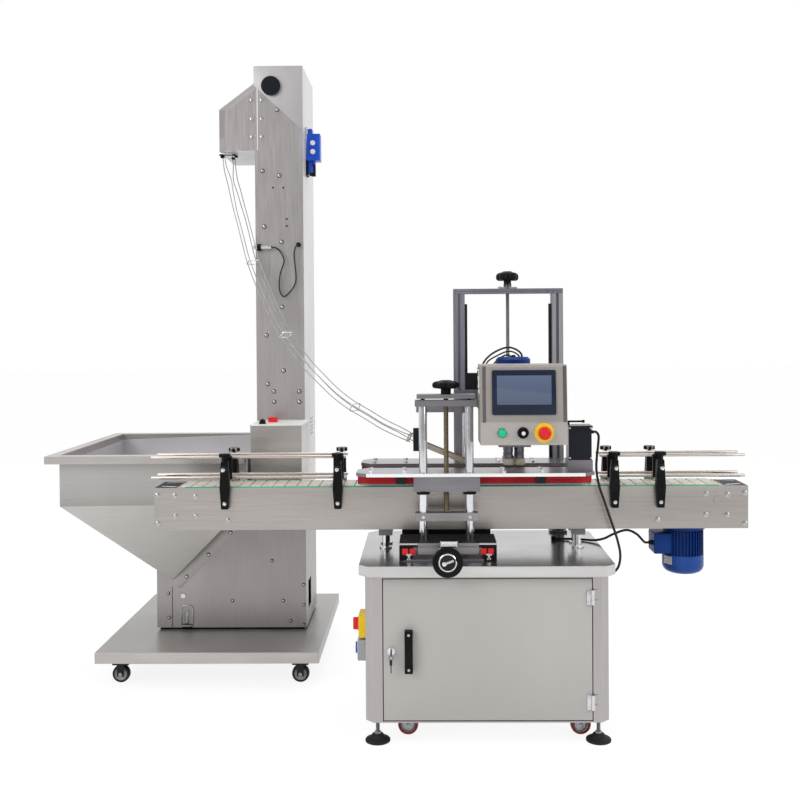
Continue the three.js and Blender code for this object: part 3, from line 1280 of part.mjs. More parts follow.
function elevatorControlBox() {
  const c = controlBox;
  const back = boot.front - gap;
  const lidTop = c.high + c.lidThickness;
  return cut(
    join(
      block(c.left, c.right, c.front, back, c.low, c.high + bite),
      block(c.left - c.lidMargin, c.right + c.lidMargin, c.front - c.lidMargin, back, c.high, lidTop),
      block(c.switchX - c.switchHalf, c.switchX + c.switchHalf,
        c.switchY - c.switchHalf, c.switchY + c.switchHalf, c.high + bite, lidTop + c.switchRise),
    ),
    block(c.left + c.sheet, c.right - c.sheet, c.front + c.sheet, back + overrun,
      c.low + c.sheet, c.high - c.sheet),
    rod(boreRadius(elevatorKnob.stemRadius, smallSides), [c.knobX, c.knobY, c.high - elevatorKnob.stemDrop],
      [c.knobX, c.knobY, lidTop + overrun], smallSides),
  );
}

function speedKnob() {
  const k = elevatorKnob;
  const c = controlBox;
  const low = c.high + c.lidThickness + gap;
  const top = low + k.height;
  return join(
    rod(k.radius, [c.knobX, c.knobY, low], [c.knobX, c.knobY, top]),
    rod(k.stemRadius, [c.knobX, c.knobY, c.high - k.stemDrop + bite], [c.knobX, c.knobY, low + bite],
      smallSides),
    block(c.knobX - k.gripWidth / 2, c.knobX + k.gripWidth / 2,
      c.knobY - k.radius + bite, c.knobY + k.radius - bite, top - bite, top + k.gripRise),
  );
}

function dischargeBox() {
  const d = discharge;
  const right = column.left - gap;
  const slope = (d.peak - d.high) / (right - d.left);
  const profile = (y, left, rise, margin, rightEdge) => {
    const cornerZ = d.high + rise - (d.left - left) * slope - margin;
    return [
      [left + margin, y, d.low + margin], [left + margin, y, cornerZ], [rightEdge, y, d.low + margin],
      [rightEdge, y, d.peak + rise - margin],
    ];
  };
  const body = (margin, rightEdge) => hull([
    ...profile(boot.front + margin, d.left, 0, margin, rightEdge),
    ...profile(boot.front + d.bevel + margin, d.left - d.bevel, d.bevelRise, margin, rightEdge),
    ...profile(boot.back - margin, d.left - d.bevel, d.bevelRise, margin, rightEdge),
  ]);
  return cut(
    body(0, right),
    body(d.sheet, right + overrun),
    block(d.mouthX - d.mouthHalfWidth, d.mouthX + d.mouthHalfWidth, d.mouthY - d.mouthHalfDepth,
      d.mouthY + d.mouthHalfDepth, d.low - overrun, d.low + d.sheet + overrun),
  );
}

function pneumaticValve() {
  const v = airValve;
  const face = column.right + gap;
  const low = v.y - v.halfDepth;
  const high = v.y + v.halfDepth;
  const middle = face + v.reach / 2;
  return join(
    block(face, face + v.plate, low, high, v.low, v.high),
    block(face + bite, face + v.reach, low, high, v.bodyLow, v.bodyHigh),
    ...v.pinZs.map((z) => rod(v.pinRadius, [middle, low + bite, z], [middle, low - v.pinRise, z],
      smallSides)),
    rod(v.stemRadius, [middle, v.y, v.bodyLow + bite], [middle, v.y, v.low], smallSides),
  );
}

// Wire chute: four rods round the caps' path, held together by rings, under a collar plate
function capChute() {
  const c = chute;
  const d = discharge;
  const [endX, endY, endZ] = capTrack.start;
  const slope = (capTrack.end[2] - endZ) / (capTrack.end[0] - endX);
  const start = [d.mouthX, d.mouthY, d.low - gap - c.collarHeight / 2];
  const finish = [endX, endY, endZ + c.halfHeight - c.rodRadius];
  const between = (shares) => start.map((from, i) => from + shares[i] * (finish[i] - from));
  const route = [
    start, ...chuteWayShares.map(between), finish,
    [endX + c.endReach, endY, finish[2] + slope * c.endReach],
  ];
  const curve = new THREE.CatmullRomCurve3(route.map((point) => new THREE.Vector3(...point)));
  const up = new THREE.Vector3(0, 0, 1);
  const frame = (share) => {
    const along = curve.getTangentAt(share);
    const across = new THREE.Vector3().crossVectors(along, up).normalize();
    const lift = new THREE.Vector3().crossVectors(across, along);
    return { centre: curve.getPointAt(share), along, across, lift };
  };
  const cornerAt = ({ centre, across, lift }, sideways, upwards) => centre.clone()
    .addScaledVector(across, sideways).addScaledVector(lift, upwards).toArray();
  const shares = Array.from({ length: c.steps + 1 }, (_, i) => i / c.steps);
  const corners = [[-1, -1], [1, -1], [1, 1], [-1, 1]];
  const rods = corners.map(([u, v]) => tube(
    shares.map((share) => cornerAt(frame(share), u * c.halfWidth, v * c.halfHeight)),
    c.rodRadius, c.steps, wireSides,
  ));
  const slabAt = (place) => (width, height, half) => hull([-half, half].flatMap((step) => (
    corners.map(([u, v]) => new THREE.Vector3(...cornerAt(place, u * width, v * height))
      .addScaledVector(place.along, step).toArray()))));
  const rings = c.ringShares.map((share) => {
    const slab = slabAt(frame(share));
    const outerWidth = c.halfWidth + c.ringMargin;
    const outerHeight = c.halfHeight + c.ringMargin;
    return cut(
      slab(outerWidth, outerHeight, c.ringThickness / 2),
      slab(c.halfWidth, c.halfHeight, c.ringThickness / 2 + overrun),
    );
  });
  const [x, y, z] = start;
  const collar = cut(
    block(x - c.collarHalfWidth, x + c.collarHalfWidth, y - c.collarHalfDepth, y + c.collarHalfDepth,
      z - c.collarHeight / 2, z + c.collarHeight / 2),
    slabAt(frame(0))(c.halfWidth, c.halfHeight, c.collarHeight + overrun),
  );
  const pastEnd = block(endX - gap, endX + 2 * c.endReach, endY - 2 * c.halfWidth, endY + 2 * c.halfWidth,
    endZ - 2 * c.halfWidth, endZ + 2 * c.halfWidth);
  return cut(join(...rods, ...rings, collar), pastEnd);
}

add('elevator_platform', elevatorPlatform(), 'steel');
casterPlaces.forEach(({ name, x, y }) => (
  add(name, casterWheel(x, y, elevatorWheel.radius, elevatorWheel), 'rubber')));
add('boot_housing', bootHousing(), 'steel');
add('column_housing', columnHousing(), 'steel');
add('cap_belt', capBeltLoop(), 'rubber');
add('head_drum', beltDrum(capBelt.headX, capBelt.headZ, boot.front - column.capHoleDepth + gap), 'chrome');
add('tail_drum', beltDrum(capBelt.tailX, capBelt.tailZ, boot.front - bite), 'chrome');
add('hopper', hopperBody(), 'paleSteel');
add('elevator_control_box', elevatorControlBox(), 'steel');
add('elevator_knob', speedKnob(), 'black');
add('discharge_box', dischargeBox(), 'steel');
add('air_valve', pneumaticValve(), 'valveBlue');
add('cap_chute', capChute(), 'chrome');

// Cords
add('sensor_cord', tube(sensorRoute, sensorCord.radius, sensorCord.steps, cordSides), 'black');
add('gripper_motor_cord', tube(motorCordRoute, motorCord.radius, motorCord.steps, cordSides), 'black');
add('conveyor_motor_cord', tube(conveyorCordRoute, conveyorCord.radius, conveyorCord.steps,
  cordSides), 'black');

// The origin is moved to the bottom centre of the bounding box
const bounds = new THREE.Box3().setFromObject(group);
const centre = bounds.getCenter(new THREE.Vector3());
group.position.set(-centre.x, -centre.y, -bounds.min.z);
group.updateMatrixWorld(true);

export default group;
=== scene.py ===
import json
import math

import bmesh
import bpy
import numpy as np
from mathutils import Matrix, Vector


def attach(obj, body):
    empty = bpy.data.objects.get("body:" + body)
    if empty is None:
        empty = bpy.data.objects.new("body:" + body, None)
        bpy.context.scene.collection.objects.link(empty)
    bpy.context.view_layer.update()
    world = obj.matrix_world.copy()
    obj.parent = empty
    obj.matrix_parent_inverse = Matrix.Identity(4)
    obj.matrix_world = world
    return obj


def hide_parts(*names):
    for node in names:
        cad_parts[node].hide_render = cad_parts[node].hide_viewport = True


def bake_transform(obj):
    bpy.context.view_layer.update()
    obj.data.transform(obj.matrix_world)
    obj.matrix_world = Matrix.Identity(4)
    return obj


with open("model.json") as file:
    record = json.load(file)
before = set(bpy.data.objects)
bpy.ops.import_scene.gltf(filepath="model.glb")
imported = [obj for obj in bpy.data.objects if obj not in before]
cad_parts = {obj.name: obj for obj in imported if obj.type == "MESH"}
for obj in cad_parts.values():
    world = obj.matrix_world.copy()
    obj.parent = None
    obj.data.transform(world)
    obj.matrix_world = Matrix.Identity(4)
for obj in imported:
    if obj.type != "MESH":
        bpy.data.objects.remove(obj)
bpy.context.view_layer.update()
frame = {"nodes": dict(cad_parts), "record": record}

scene = bpy.context.scene
record = frame["record"]
body_of = {node: body for body, nodes in record["behaviour"]["bodies"].items() for node in nodes}

# Lengths are drawn in millimetres in the drawing's own frame and are moved to the model's frame here
DRAWING_ORIGIN = np.array([151.0, -362.0, 0.0])
X, Y, Z = np.eye(3)
ROWS = (("front", -1), ("rear", 1))
SAME_POINT = 1e-6


def metres(points):
    """Points of the drawing in the model's frame: the drawing's origin is added and the sum put in metres."""
    return (np.asarray(points, float) + DRAWING_ORIGIN) / 1000


def new_object(name, data):
    """Object at the origin that shows the data."""
    obj = bpy.data.objects.new(name, data)
    scene.collection.objects.link(obj)
    return obj


# Finishes


def opaque(colour):
    """The colour with full opacity, as a socket takes it."""
    return (*colour, 1.0)


def add_node(tree, kind, inputs=None, **settings):
    """Node of a kind with its settings. Each input is linked to a socket or set to a value."""
    node = tree.nodes.new(kind)
    for key, value in settings.items():
        setattr(node, key, value)
    for key, value in (inputs or {}).items():
        if isinstance(value, bpy.types.NodeSocket):
            tree.links.new(value, node.inputs[key])
        else:
            node.inputs[key].default_value = value
    return node


class Finish:
    """A material whose patterns lie on the piece's own coordinates, in metres."""

    def __init__(self, name):
        self.material = bpy.data.materials.new(name)
        self.material.use_nodes = True
        self.tree = self.material.node_tree
        self.shader = self.tree.nodes["Principled BSDF"]
        self.coords = self.add("ShaderNodeTexCoord").outputs["Object"]

    def add(self, kind, inputs=None, **settings):
        """A further node."""
        return add_node(self.tree, kind, inputs, **settings)

    def scaled(self, scale, turn=(0, 0, 0)):
        """The coordinates times a scale, turned."""
        inputs = {"Vector": self.coords, "Scale": scale, "Rotation": turn}
        return self.add("ShaderNodeMapping", inputs).outputs[0]

    def noise(self, waves, detail=3.0, roughness=0.55):
        """Cloudy pattern with so many waves to a metre, the same number each way or one for each axis."""
        scale = tuple(float(number) for number in np.broadcast_to(waves, 3))
        inputs = {"Vector": self.scaled(scale), "Scale": 1.0, "Detail": detail, "Roughness": roughness}
        return self.add("ShaderNodeTexNoise", inputs).outputs["Fac"]

    def ranged(self, value, low, high, to_low=0.0, to_high=1.0):
        """The value, with low to high stretched over the new bounds."""
        inputs = {"Value": value, "From Min": low, "From Max": high, "To Min": to_low, "To Max": to_high}
        return self.add("ShaderNodeMapRange", inputs).outputs[0]

    def combine(self, operation, first, second):
        """Sum or product of two values."""
        return self.add("ShaderNodeMath", {0: first, 1: second}, operation=operation).outputs[0]

    def blend(self, amount, first, second):
        """Colour between two colours by an amount from 0 to 1. The node's colours are its inputs 6 and 7."""
        inputs = {0: amount, 6: opaque(first), 7: opaque(second)}
        return self.add("ShaderNodeMix", inputs, data_type="RGBA").outputs[2]

    def link(self, value, socket):
        """The value drives one of the shader's sockets."""
        self.tree.links.new(value, self.shader.inputs[socket])

    def bump(self, height, depth):
        """The pattern as relief, so many metres deep."""
        node = self.add("ShaderNodeBump", {"Height": height, "Distance": depth, "Strength": 1.0})
        self.link(node.outputs[0], "Normal")

    def fixed(self, **values):
        """Shader values that are the same everywhere."""
        for key, value in values.items():
            self.shader.inputs[key.replace("_", " ")].default_value = value


def finish(name, dark, light, rough, metal=0.0, grain=350, cloud=5, share=0.4, span=0.08, bump=0.0,
           specular=0.5):
    """Base finish. A fine grain and a broad cloud, added by their shares, choose the colour between dark and
    light. The grain also varies the roughness by the span and is the relief. Grain and cloud are in waves to
    a metre and the relief's depth is in metres."""
    f = Finish(name)
    fine = f.noise(grain, 2.0)
    broad = f.noise(cloud, 3.0)
    both = f.combine("ADD", f.combine("MULTIPLY", fine, share), f.combine("MULTIPLY", broad, 1 - share))
    f.link(f.blend(f.ranged(both, 0.32, 0.68), dark, light), "Base Color")
    smoothest, roughest = max(0.02, rough - span), min(1.0, rough + span)
    f.link(f.ranged(fine, 0.25, 0.75, smoothest, roughest), "Roughness")
    f.fixed(Metallic=metal, Specular_IOR_Level=specular)
    if bump:
        f.bump(fine, bump)
    return f.material


def threaded(name, dark, light, pitch, turn=(0, 0, 0)):
    """Screw thread: bands across the rod at the pitch, as colour and relief. The pitch is in metres."""
    band_at_scale_one = 0.314
    f = Finish(name)
    inputs = {"Vector": f.scaled((1, 1, 1), turn), "Scale": band_at_scale_one / pitch, "Distortion": 0.0}
    bands = f.add("ShaderNodeTexWave", inputs, bands_direction="Z").outputs["Fac"]
    f.link(f.blend(bands, dark, light), "Base Color")
    f.link(f.ranged(f.noise(300), 0.3, 0.7, 0.27, 0.45), "Roughness")
    f.fixed(Metallic=1.0)
    f.bump(bands, pitch / 3)
    return f.material


def display(name):
    """Screen glass: a soft slope of blue-grey light from its foot to its head under a glossy coat."""
    foot, head = 1.03, 1.13
    f = Finish(name)
    height = f.add("ShaderNodeSeparateXYZ", {"Vector": f.coords}).outputs["Z"]
    slope = f.ranged(height, foot, head)
    f.link(f.blend(slope, (0.06, 0.085, 0.15), (0.10, 0.135, 0.22)), "Base Color")
    f.link(f.ranged(f.noise(40), 0.3, 0.7, 0.06, 0.14), "Roughness")
    f.fixed(Coat_Weight=0.2, Coat_Roughness=0.04)
    return f.material


# Grains that repeat, in waves to a metre along x, y and z: few along the brush marks and many across them
UPRIGHT_GRAIN = (520, 520, 9)
LEVEL_GRAIN = (6, 380, 380)
SHEET_GRAIN = (6, 6, 520)
POST_GRAIN = (420, 420, 6)

steel_upright = finish("steel_brushed_upright", (0.37, 0.345, 0.34), (0.50, 0.475, 0.47), 0.36, 0.9,
                       grain=UPRIGHT_GRAIN, cloud=(5, 5, 0.6), share=0.45, bump=0.00003)
steel_column = finish("steel_brushed_column", (0.36, 0.335, 0.33), (0.50, 0.475, 0.47), 0.36, 0.8,
                      grain=UPRIGHT_GRAIN, cloud=(4, 4, 1.5), share=0.4, bump=0.00003)
steel_along = finish("steel_brushed_along", (0.35, 0.32, 0.302), (0.52, 0.485, 0.462), 0.33, 0.9,
                     grain=(7, 420, 420), cloud=(0.7, 5, 5), share=0.4, bump=0.00004)
steel_sheet = finish("steel_sheet", (0.33, 0.32, 0.31), (0.47, 0.46, 0.445), 0.36, 0.6, grain=SHEET_GRAIN,
                     cloud=(1.6, 1.6, 1.2), share=0.3, bump=0.00003)
# Paler, less metallic sheet for the hopper's downward slopes: painted light, lighter than the sheet to stand
# in for the light these shaded faces lack
steel_slope_painted_light = finish("steel_slope_painted_light", (0.48, 0.465, 0.445), (0.66, 0.645, 0.62), 0.5, 0.15, grain=SHEET_GRAIN,
                     cloud=(1.6, 1.6, 1.2), share=0.3, bump=0.00003)
steel_boot = finish("steel_boot", (0.30, 0.278, 0.272), (0.42, 0.395, 0.388), 0.38, 0.7,
                    grain=UPRIGHT_GRAIN, cloud=(2.5, 2.5, 1.5), share=0.35, bump=0.00003)
steel_head = finish("steel_head", (0.35, 0.335, 0.345), (0.47, 0.455, 0.465), 0.44, 0.4,
                    grain=UPRIGHT_GRAIN, cloud=(5, 5, 3), share=0.35, bump=0.00003)
steel_box = finish("steel_box", (0.40, 0.375, 0.36), (0.56, 0.53, 0.51), 0.33, 0.8, grain=(5, 5, 900),
                   cloud=(3, 3, 9), share=0.3, bump=0.00002)
# Pale steel as painted highlight: the worktop's front band and edges, and the carriage's strips
steel_band_painted_highlight = finish("steel_band_painted_highlight", (0.50, 0.495, 0.49), (0.66, 0.655, 0.65), 0.28, 0.9, grain=(5, 5, 1000),
                    cloud=(2, 2, 10), share=0.35, bump=0.00002)
# Near-white steel as painted highlight: the bright strip on the gripper plates' front edges and the glint on
# the carriage screw's cap
steel_painted_highlight = finish("steel_painted_highlight", (0.84, 0.84, 0.84), (0.95, 0.95, 0.95), 0.35, 0.1, grain=(9, 300, 300))
# Paler, nearly matte sheet for the hopper's inner walls: painted light, standing in for the light the walls
# throw between them
steel_inside_painted_light = finish("steel_inside_painted_light", (0.50, 0.485, 0.51), (0.66, 0.64, 0.67), 0.5, 0.05, grain=(9, 9, 300),
                      cloud=(1.8, 1.8, 1.4), share=0.25, bump=0.00003)
# Pale steel: the column's light side cover and a seam strip, and painted light on the discharge box's
# underside
steel_pale = finish("steel_pale", (0.60, 0.60, 0.615), (0.76, 0.76, 0.78), 0.4, 0.3, grain=(300, 300, 8),
                    cloud=(2.5, 2.5, 1.2), share=0.3, bump=0.00003)
# Darker steel for the worktop's top: painted reflection of the dark things it mirrors
steel_top_painted_reflection = finish("steel_top_painted_reflection", (0.36, 0.35, 0.355), (0.54, 0.53, 0.535), 0.19, 0.95,
                       grain=LEVEL_GRAIN, cloud=(3, 5, 5), bump=0.00002)
steel_bright = finish("steel_bright", (0.50, 0.50, 0.51), (0.76, 0.76, 0.77), 0.26, 0.95, grain=200,
                      bump=0.00003)
screw_steel = finish("screw_steel", (0.26, 0.26, 0.265), (0.58, 0.58, 0.59), 0.3, 0.9, grain=900, cloud=90,
                     share=0.5, bump=0.00004)
bolt_steel = finish("bolt_steel", (0.34, 0.335, 0.33), (0.74, 0.735, 0.73), 0.24, 0.95, grain=700, cloud=70,
                    share=0.5, bump=0.00004)
wire_steel = finish("wire_steel", (0.26, 0.255, 0.26), (0.40, 0.395, 0.40), 0.5, 0.3, grain=90, cloud=30,
                    bump=0.00002)
zinc = finish("zinc", (0.24, 0.25, 0.27), (0.42, 0.43, 0.46), 0.42, 0.9, grain=120, bump=0.00005)
chrome = finish("chrome", (0.62, 0.63, 0.66), (0.80, 0.81, 0.84), 0.16, 1.0, grain=60, span=0.04)
spindle_steel = finish("spindle_steel", (0.09, 0.095, 0.115), (0.20, 0.205, 0.235), 0.3, 0.9,
                       grain=(40, 40, 500), cloud=(12, 12, 60), bump=0.00003)
rod_steel = finish("rod_steel", (0.44, 0.39, 0.355), (0.68, 0.63, 0.59), 0.28, 0.95, grain=(6, 300, 300),
                   cloud=(3, 30, 30), bump=0.00002)
extrusion = finish("extrusion", (0.135, 0.13, 0.165), (0.235, 0.225, 0.27), 0.42, 0.75, grain=POST_GRAIN,
                   cloud=(6, 6, 1), bump=0.00004)
# Lighter strips for the posts' slot lips: painted highlight, bluish for the left post and the beam and paler
# for the right post
post_blue = finish("post_blue", (0.15, 0.155, 0.20), (0.27, 0.275, 0.33), 0.4, 0.6, grain=POST_GRAIN,
                   cloud=(6, 6, 1), bump=0.00003)
post_pale = finish("post_pale", (0.30, 0.29, 0.30), (0.46, 0.45, 0.46), 0.38, 0.6, grain=POST_GRAIN,
                   cloud=(6, 6, 1), bump=0.00003)
plate_grey = finish("plate_grey", (0.175, 0.168, 0.185), (0.29, 0.28, 0.30), 0.42, 0.75,
                    grain=LEVEL_GRAIN, cloud=(4, 8, 8), bump=0.00004)
plate_mid = finish("plate_mid", (0.235, 0.222, 0.23), (0.38, 0.36, 0.37), 0.4, 0.7, grain=LEVEL_GRAIN,
                   cloud=(5, 8, 8), bump=0.00004)
# Grey for the slide's front plate and edge: its own grey, set a little lighter as painted light against the
# handwheel's shade on it
plate_front = finish("plate_front", (0.22, 0.205, 0.208), (0.34, 0.32, 0.325), 0.4, 0.6,
                     grain=LEVEL_GRAIN, cloud=(5, 8, 8), bump=0.00004)
plate_top = finish("plate_top", (0.26, 0.255, 0.27), (0.42, 0.41, 0.43), 0.3, 0.9, grain=LEVEL_GRAIN,
                   cloud=(3, 8, 8), bump=0.00003)
cabinet_paint = finish("cabinet_paint", (0.41, 0.398, 0.38), (0.49, 0.478, 0.458), 0.5, grain=1100,
                       cloud=(2.5, 2.5, 1.2), share=0.3, bump=0.00005, specular=0.35)
# Lighter taupe for the panel's lower face and rims: painted highlight, the panel's paint made lighter where
# it catches light
taupe_painted_highlight = finish("panel_taupe_low", (0.37, 0.345, 0.325), (0.44, 0.415, 0.395), 0.45, grain=1400, cloud=7,
                   share=0.6, bump=0.00006, specular=0.4)
panel_fold = finish("panel_fold", (0.095, 0.08, 0.082), (0.15, 0.13, 0.132), 0.36, 0.4,
                    grain=(900, 900, 12), cloud=9, bump=0.00003)
taupe = finish("panel_taupe", (0.27, 0.248, 0.228), (0.34, 0.315, 0.293), 0.45, grain=1400, cloud=7,
               share=0.6, bump=0.00006, specular=0.4)
black_plastic = finish("black_plastic", (0.003, 0.003, 0.0035), (0.009, 0.009, 0.010), 0.42, grain=1300,
                       cloud=14, share=0.5, bump=0.00006, specular=0.1)
black_steel = finish("black_steel", (0.007, 0.0065, 0.007), (0.024, 0.022, 0.023), 0.36, 0.3, grain=600,
                     cloud=18, bump=0.00005, specular=0.3)
black_plate = finish("black_plate", (0.0025, 0.0023, 0.0025), (0.010, 0.009, 0.010), 0.5, grain=500,
                     cloud=18, bump=0.00005, specular=0.12)
black_gloss = finish("black_gloss", (0.005, 0.007, 0.011), (0.014, 0.017, 0.026), 0.24, grain=500,
                     specular=0.18)
panel_black = finish("panel_black", (0.007, 0.011, 0.027), (0.016, 0.023, 0.052), 0.2, grain=900, cloud=9,
                     specular=0.22)
rubber_black = finish("rubber_black", (0.006, 0.006, 0.006), (0.02, 0.019, 0.018), 0.66, grain=700,
                      cloud=16, bump=0.00008, specular=0.3)
belt_dark = finish("belt_dark", (0.02, 0.022, 0.02), (0.05, 0.055, 0.05), 0.62, grain=(300, 900, 900),
                   bump=0.0001)
belt_red = finish("belt_red", (0.32, 0.006, 0.010), (0.50, 0.015, 0.022), 0.55, grain=(240, 240, 900),
                  cloud=(14, 14, 30), bump=0.00012, specular=0.2)
wheel_red = finish("wheel_red", (0.16, 0.006, 0.008), (0.30, 0.014, 0.016), 0.42, grain=420, cloud=30,
                   bump=0.00006, specular=0.3)
signal_red = finish("signal_red", (0.56, 0.008, 0.010), (0.72, 0.018, 0.02), 0.3, grain=500, cloud=20,
                    specular=0.35)
signal_yellow = finish("signal_yellow", (0.80, 0.50, 0.004), (0.92, 0.62, 0.02), 0.4, grain=600, cloud=20,
                       specular=0.25)
signal_green = finish("signal_green", (0.005, 0.46, 0.22), (0.012, 0.62, 0.31), 0.3, grain=500,
                      specular=0.35)
strip_green = finish("strip_green", (0.004, 0.34, 0.17), (0.012, 0.46, 0.25), 0.5, grain=(8, 500, 500),
                     bump=0.00005, specular=0.25)
motor_blue = finish("motor_blue", (0.001, 0.016, 0.10), (0.003, 0.038, 0.21), 0.42, grain=700, cloud=12,
                    bump=0.00008, specular=0.15)
# Lighter blue for the motor's cowl: the motor's blue paint, made lighter as painted light on the rounded cowl
cowl_blue_painted_light = finish("cowl_blue_painted_light", (0.002, 0.030, 0.17), (0.006, 0.065, 0.32), 0.32, grain=700, cloud=12,
                   bump=0.00006, specular=0.3)
valve_blue = finish("valve_blue", (0.004, 0.055, 0.44), (0.012, 0.10, 0.66), 0.3, grain=500, cloud=25,
                    specular=0.35)
chain_cream = finish("chain_cream", (0.56, 0.49, 0.44), (0.72, 0.65, 0.59), 0.42, grain=260,
                     cloud=(16, 30, 30), bump=0.00006)
roller_amber = finish("roller_amber", (0.46, 0.40, 0.29), (0.76, 0.72, 0.62), 0.42, grain=500, cloud=60,
                      bump=0.00008)
white_plastic = finish("white_plastic", (0.70, 0.70, 0.69), (0.82, 0.82, 0.81), 0.38, grain=700,
                       bump=0.00003)
grey_plastic = finish("grey_plastic", (0.30, 0.31, 0.33), (0.42, 0.43, 0.45), 0.42, grain=700, bump=0.00004)
brass = threaded("brass_thread", (0.10, 0.075, 0.04), (0.38, 0.31, 0.19), 0.004)
steel_thread = threaded("steel_thread", (0.11, 0.10, 0.095), (0.40, 0.37, 0.34), 0.003)
thread_across = threaded("steel_thread_across", (0.16, 0.155, 0.15), (0.50, 0.49, 0.48), 0.0025,
                         turn=(math.pi / 2, 0, 0))
track_steel = finish("track_steel", (0.38, 0.31, 0.26), (0.62, 0.54, 0.47), 0.3, 0.9, grain=(12, 300, 300),
                     cloud=12, bump=0.00004)
cord_rubber = finish("cord_rubber", (0.004, 0.004, 0.005), (0.013, 0.013, 0.015), 0.45, grain=500, cloud=25,
                     bump=0.00005, specular=0.35)
screen_glass = display("screen_glass")

# Surfaces, each worked out from two parameters or from a profile and a path


def grid_faces(rows, columns):
    """Four-sided faces between neighbouring rows of a grid of points whose last column joins the first."""
    column = np.arange(columns)
    low = (np.arange(rows - 1)[:, None] * columns + column[None]).ravel()
    step = np.tile((column + 1) % columns - column, rows - 1)
    return np.stack([low, low + step, low + step + columns, low + columns], -1).tolist()


def tube_faces(rows, columns):
    """The grid's faces and one face over each end of it."""
    first = list(range(columns))[::-1]
    last = list(range((rows - 1) * columns, rows * columns))
    return grid_faces(rows, columns) + [first, last]


def frame_of(along):
    """Two directions across a line, square to it and to each other, and the line's own direction."""
    along = np.asarray(along, float) / np.linalg.norm(along)
    u = np.cross(along, X if abs(along[0]) < 0.7 else Y)
    u /= np.linalg.norm(u)
    return u, np.cross(along, u), along


def turned(profile, foot, along=Z, sides=40, lobes=0, dip=0.0):
    """Profile of (radius, height) pairs turned about a line. A point is foot + height * along + radius *
    (cos a * u + sin a * v). With lobes the radius is cut by the dip's share of 1 - |cos(lobes * a / 2)|."""
    profile = np.asarray(profile, float)
    u, v, w = frame_of(along)
    a = np.arange(sides) * 2 * np.pi / sides
    cut = dip * (1 - np.abs(np.cos(lobes * a / 2))) if lobes else np.zeros(sides)
    radius = profile[:, :1] * (1 - cut * (profile[:, :1] > 0))
    ring = np.cos(a)[:, None] * u + np.sin(a)[:, None] * v
    points = np.asarray(foot, float) + profile[:, 1][:, None, None] * w + radius[..., None] * ring[None]
    return points.reshape(-1, 3), tube_faces(len(profile), sides)


def ring_of(profile, foot, along=Z, sides=40):
    """Closed profile turned about a line: the last row joins the first, so there are no end faces."""
    points, faces = turned(list(profile) + [profile[0]], foot, along, sides)
    return points, faces[:-2]


def rounded_profile(radius, low, high, edge, steps=3):
    """Profile of a bar whose side and ends are joined by quarter circles of the edge's radius: at an angle t
    the radius is radius - edge + edge * sin t and the height is low + edge - edge * cos t."""
    t = np.linspace(0, np.pi / 2, steps + 1)
    lower = np.stack([radius - edge + edge * np.sin(t), low + edge - edge * np.cos(t)], -1)
    upper = np.stack([radius - edge + edge * np.cos(t), high - edge + edge * np.sin(t)], -1)
    return np.concatenate([[[0, low]], lower, upper, [[0, high]]])


def bar(radius, start, end, edge=0.6, sides=32):
    """Round bar between two points with rounded ends."""
    start, end = np.asarray(start, float), np.asarray(end, float)
    length = np.linalg.norm(end - start)
    edge = min(edge, length / 3, radius / 2)
    return turned(rounded_profile(radius, 0, length, edge), start, end - start, sides)


def inset(outline, amount):
    """Each corner of an anticlockwise outline moved inwards: with n1 and n2 square to its two edges, by
    amount * (n1 + n2) / (1 + n1 * n2)."""
    ahead = np.roll(outline, -1, 0) - outline
    ahead /= np.linalg.norm(ahead, axis=1)[:, None]
    behind = np.roll(ahead, 1, 0)
    n1 = np.stack([-behind[:, 1], behind[:, 0]], -1)
    n2 = np.stack([-ahead[:, 1], ahead[:, 0]], -1)
    return outline + amount * (n1 + n2) / (1 + (n1 * n2).sum(1))[:, None]


def rectangle(u0, u1, v0, v1, corner=0.0, steps=4):
    """Anticlockwise rectangle with corners rounded by quarter circles."""
    if corner <= 0:
        return np.array([[u0, v0], [u1, v0], [u1, v1], [u0, v1]], float)
    t = np.linspace(0, np.pi / 2, steps + 1)
    left, right, low, high = u0 + corner, u1 - corner, v0 + corner, v1 - corner
    arcs = [(right, low, -np.pi / 2), (right, high, 0), (left, high, np.pi / 2), (left, low, np.pi)]
    return np.concatenate([np.stack([cu + corner * np.cos(t + a), cv + corner * np.sin(t + a)], -1)
                           for cu, cv, a in arcs])


def slab(outline, low, high, axis="z", edge=0.8, steps=2):
    """Outline carried straight along an axis. Its ends are rounded: edge * (1 - cos q) from an end, for q
    from 0 to a quarter turn, the outline is drawn in by edge * (1 - sin q)."""
    outline = np.asarray(outline, float)
    edge = min(edge, abs(high - low) / 2.01)
    t = np.linspace(0, np.pi / 2, steps + 1)
    rows = [(edge * (1 - np.sin(q)), low + edge * (1 - np.cos(q))) for q in t]
    rows += [(edge * (1 - np.cos(q)), high - edge * (1 - np.sin(q))) for q in t]
    flat = np.stack([np.column_stack([inset(outline, shrink), np.full(len(outline), depth)])
                     for shrink, depth in rows])
    order = {"z": (0, 1, 2), "x": (2, 0, 1), "y": (0, 2, 1)}[axis]
    return flat[..., order].reshape(-1, 3), tube_faces(len(rows), len(outline))


def block(x0, x1, y0, y1, z0, z1, edge=0.8, corner=0.0):
    """Box between two corners with rounded edges."""
    return slab(rectangle(x0, x1, y0, y1, corner), z0, z1, "z", edge)


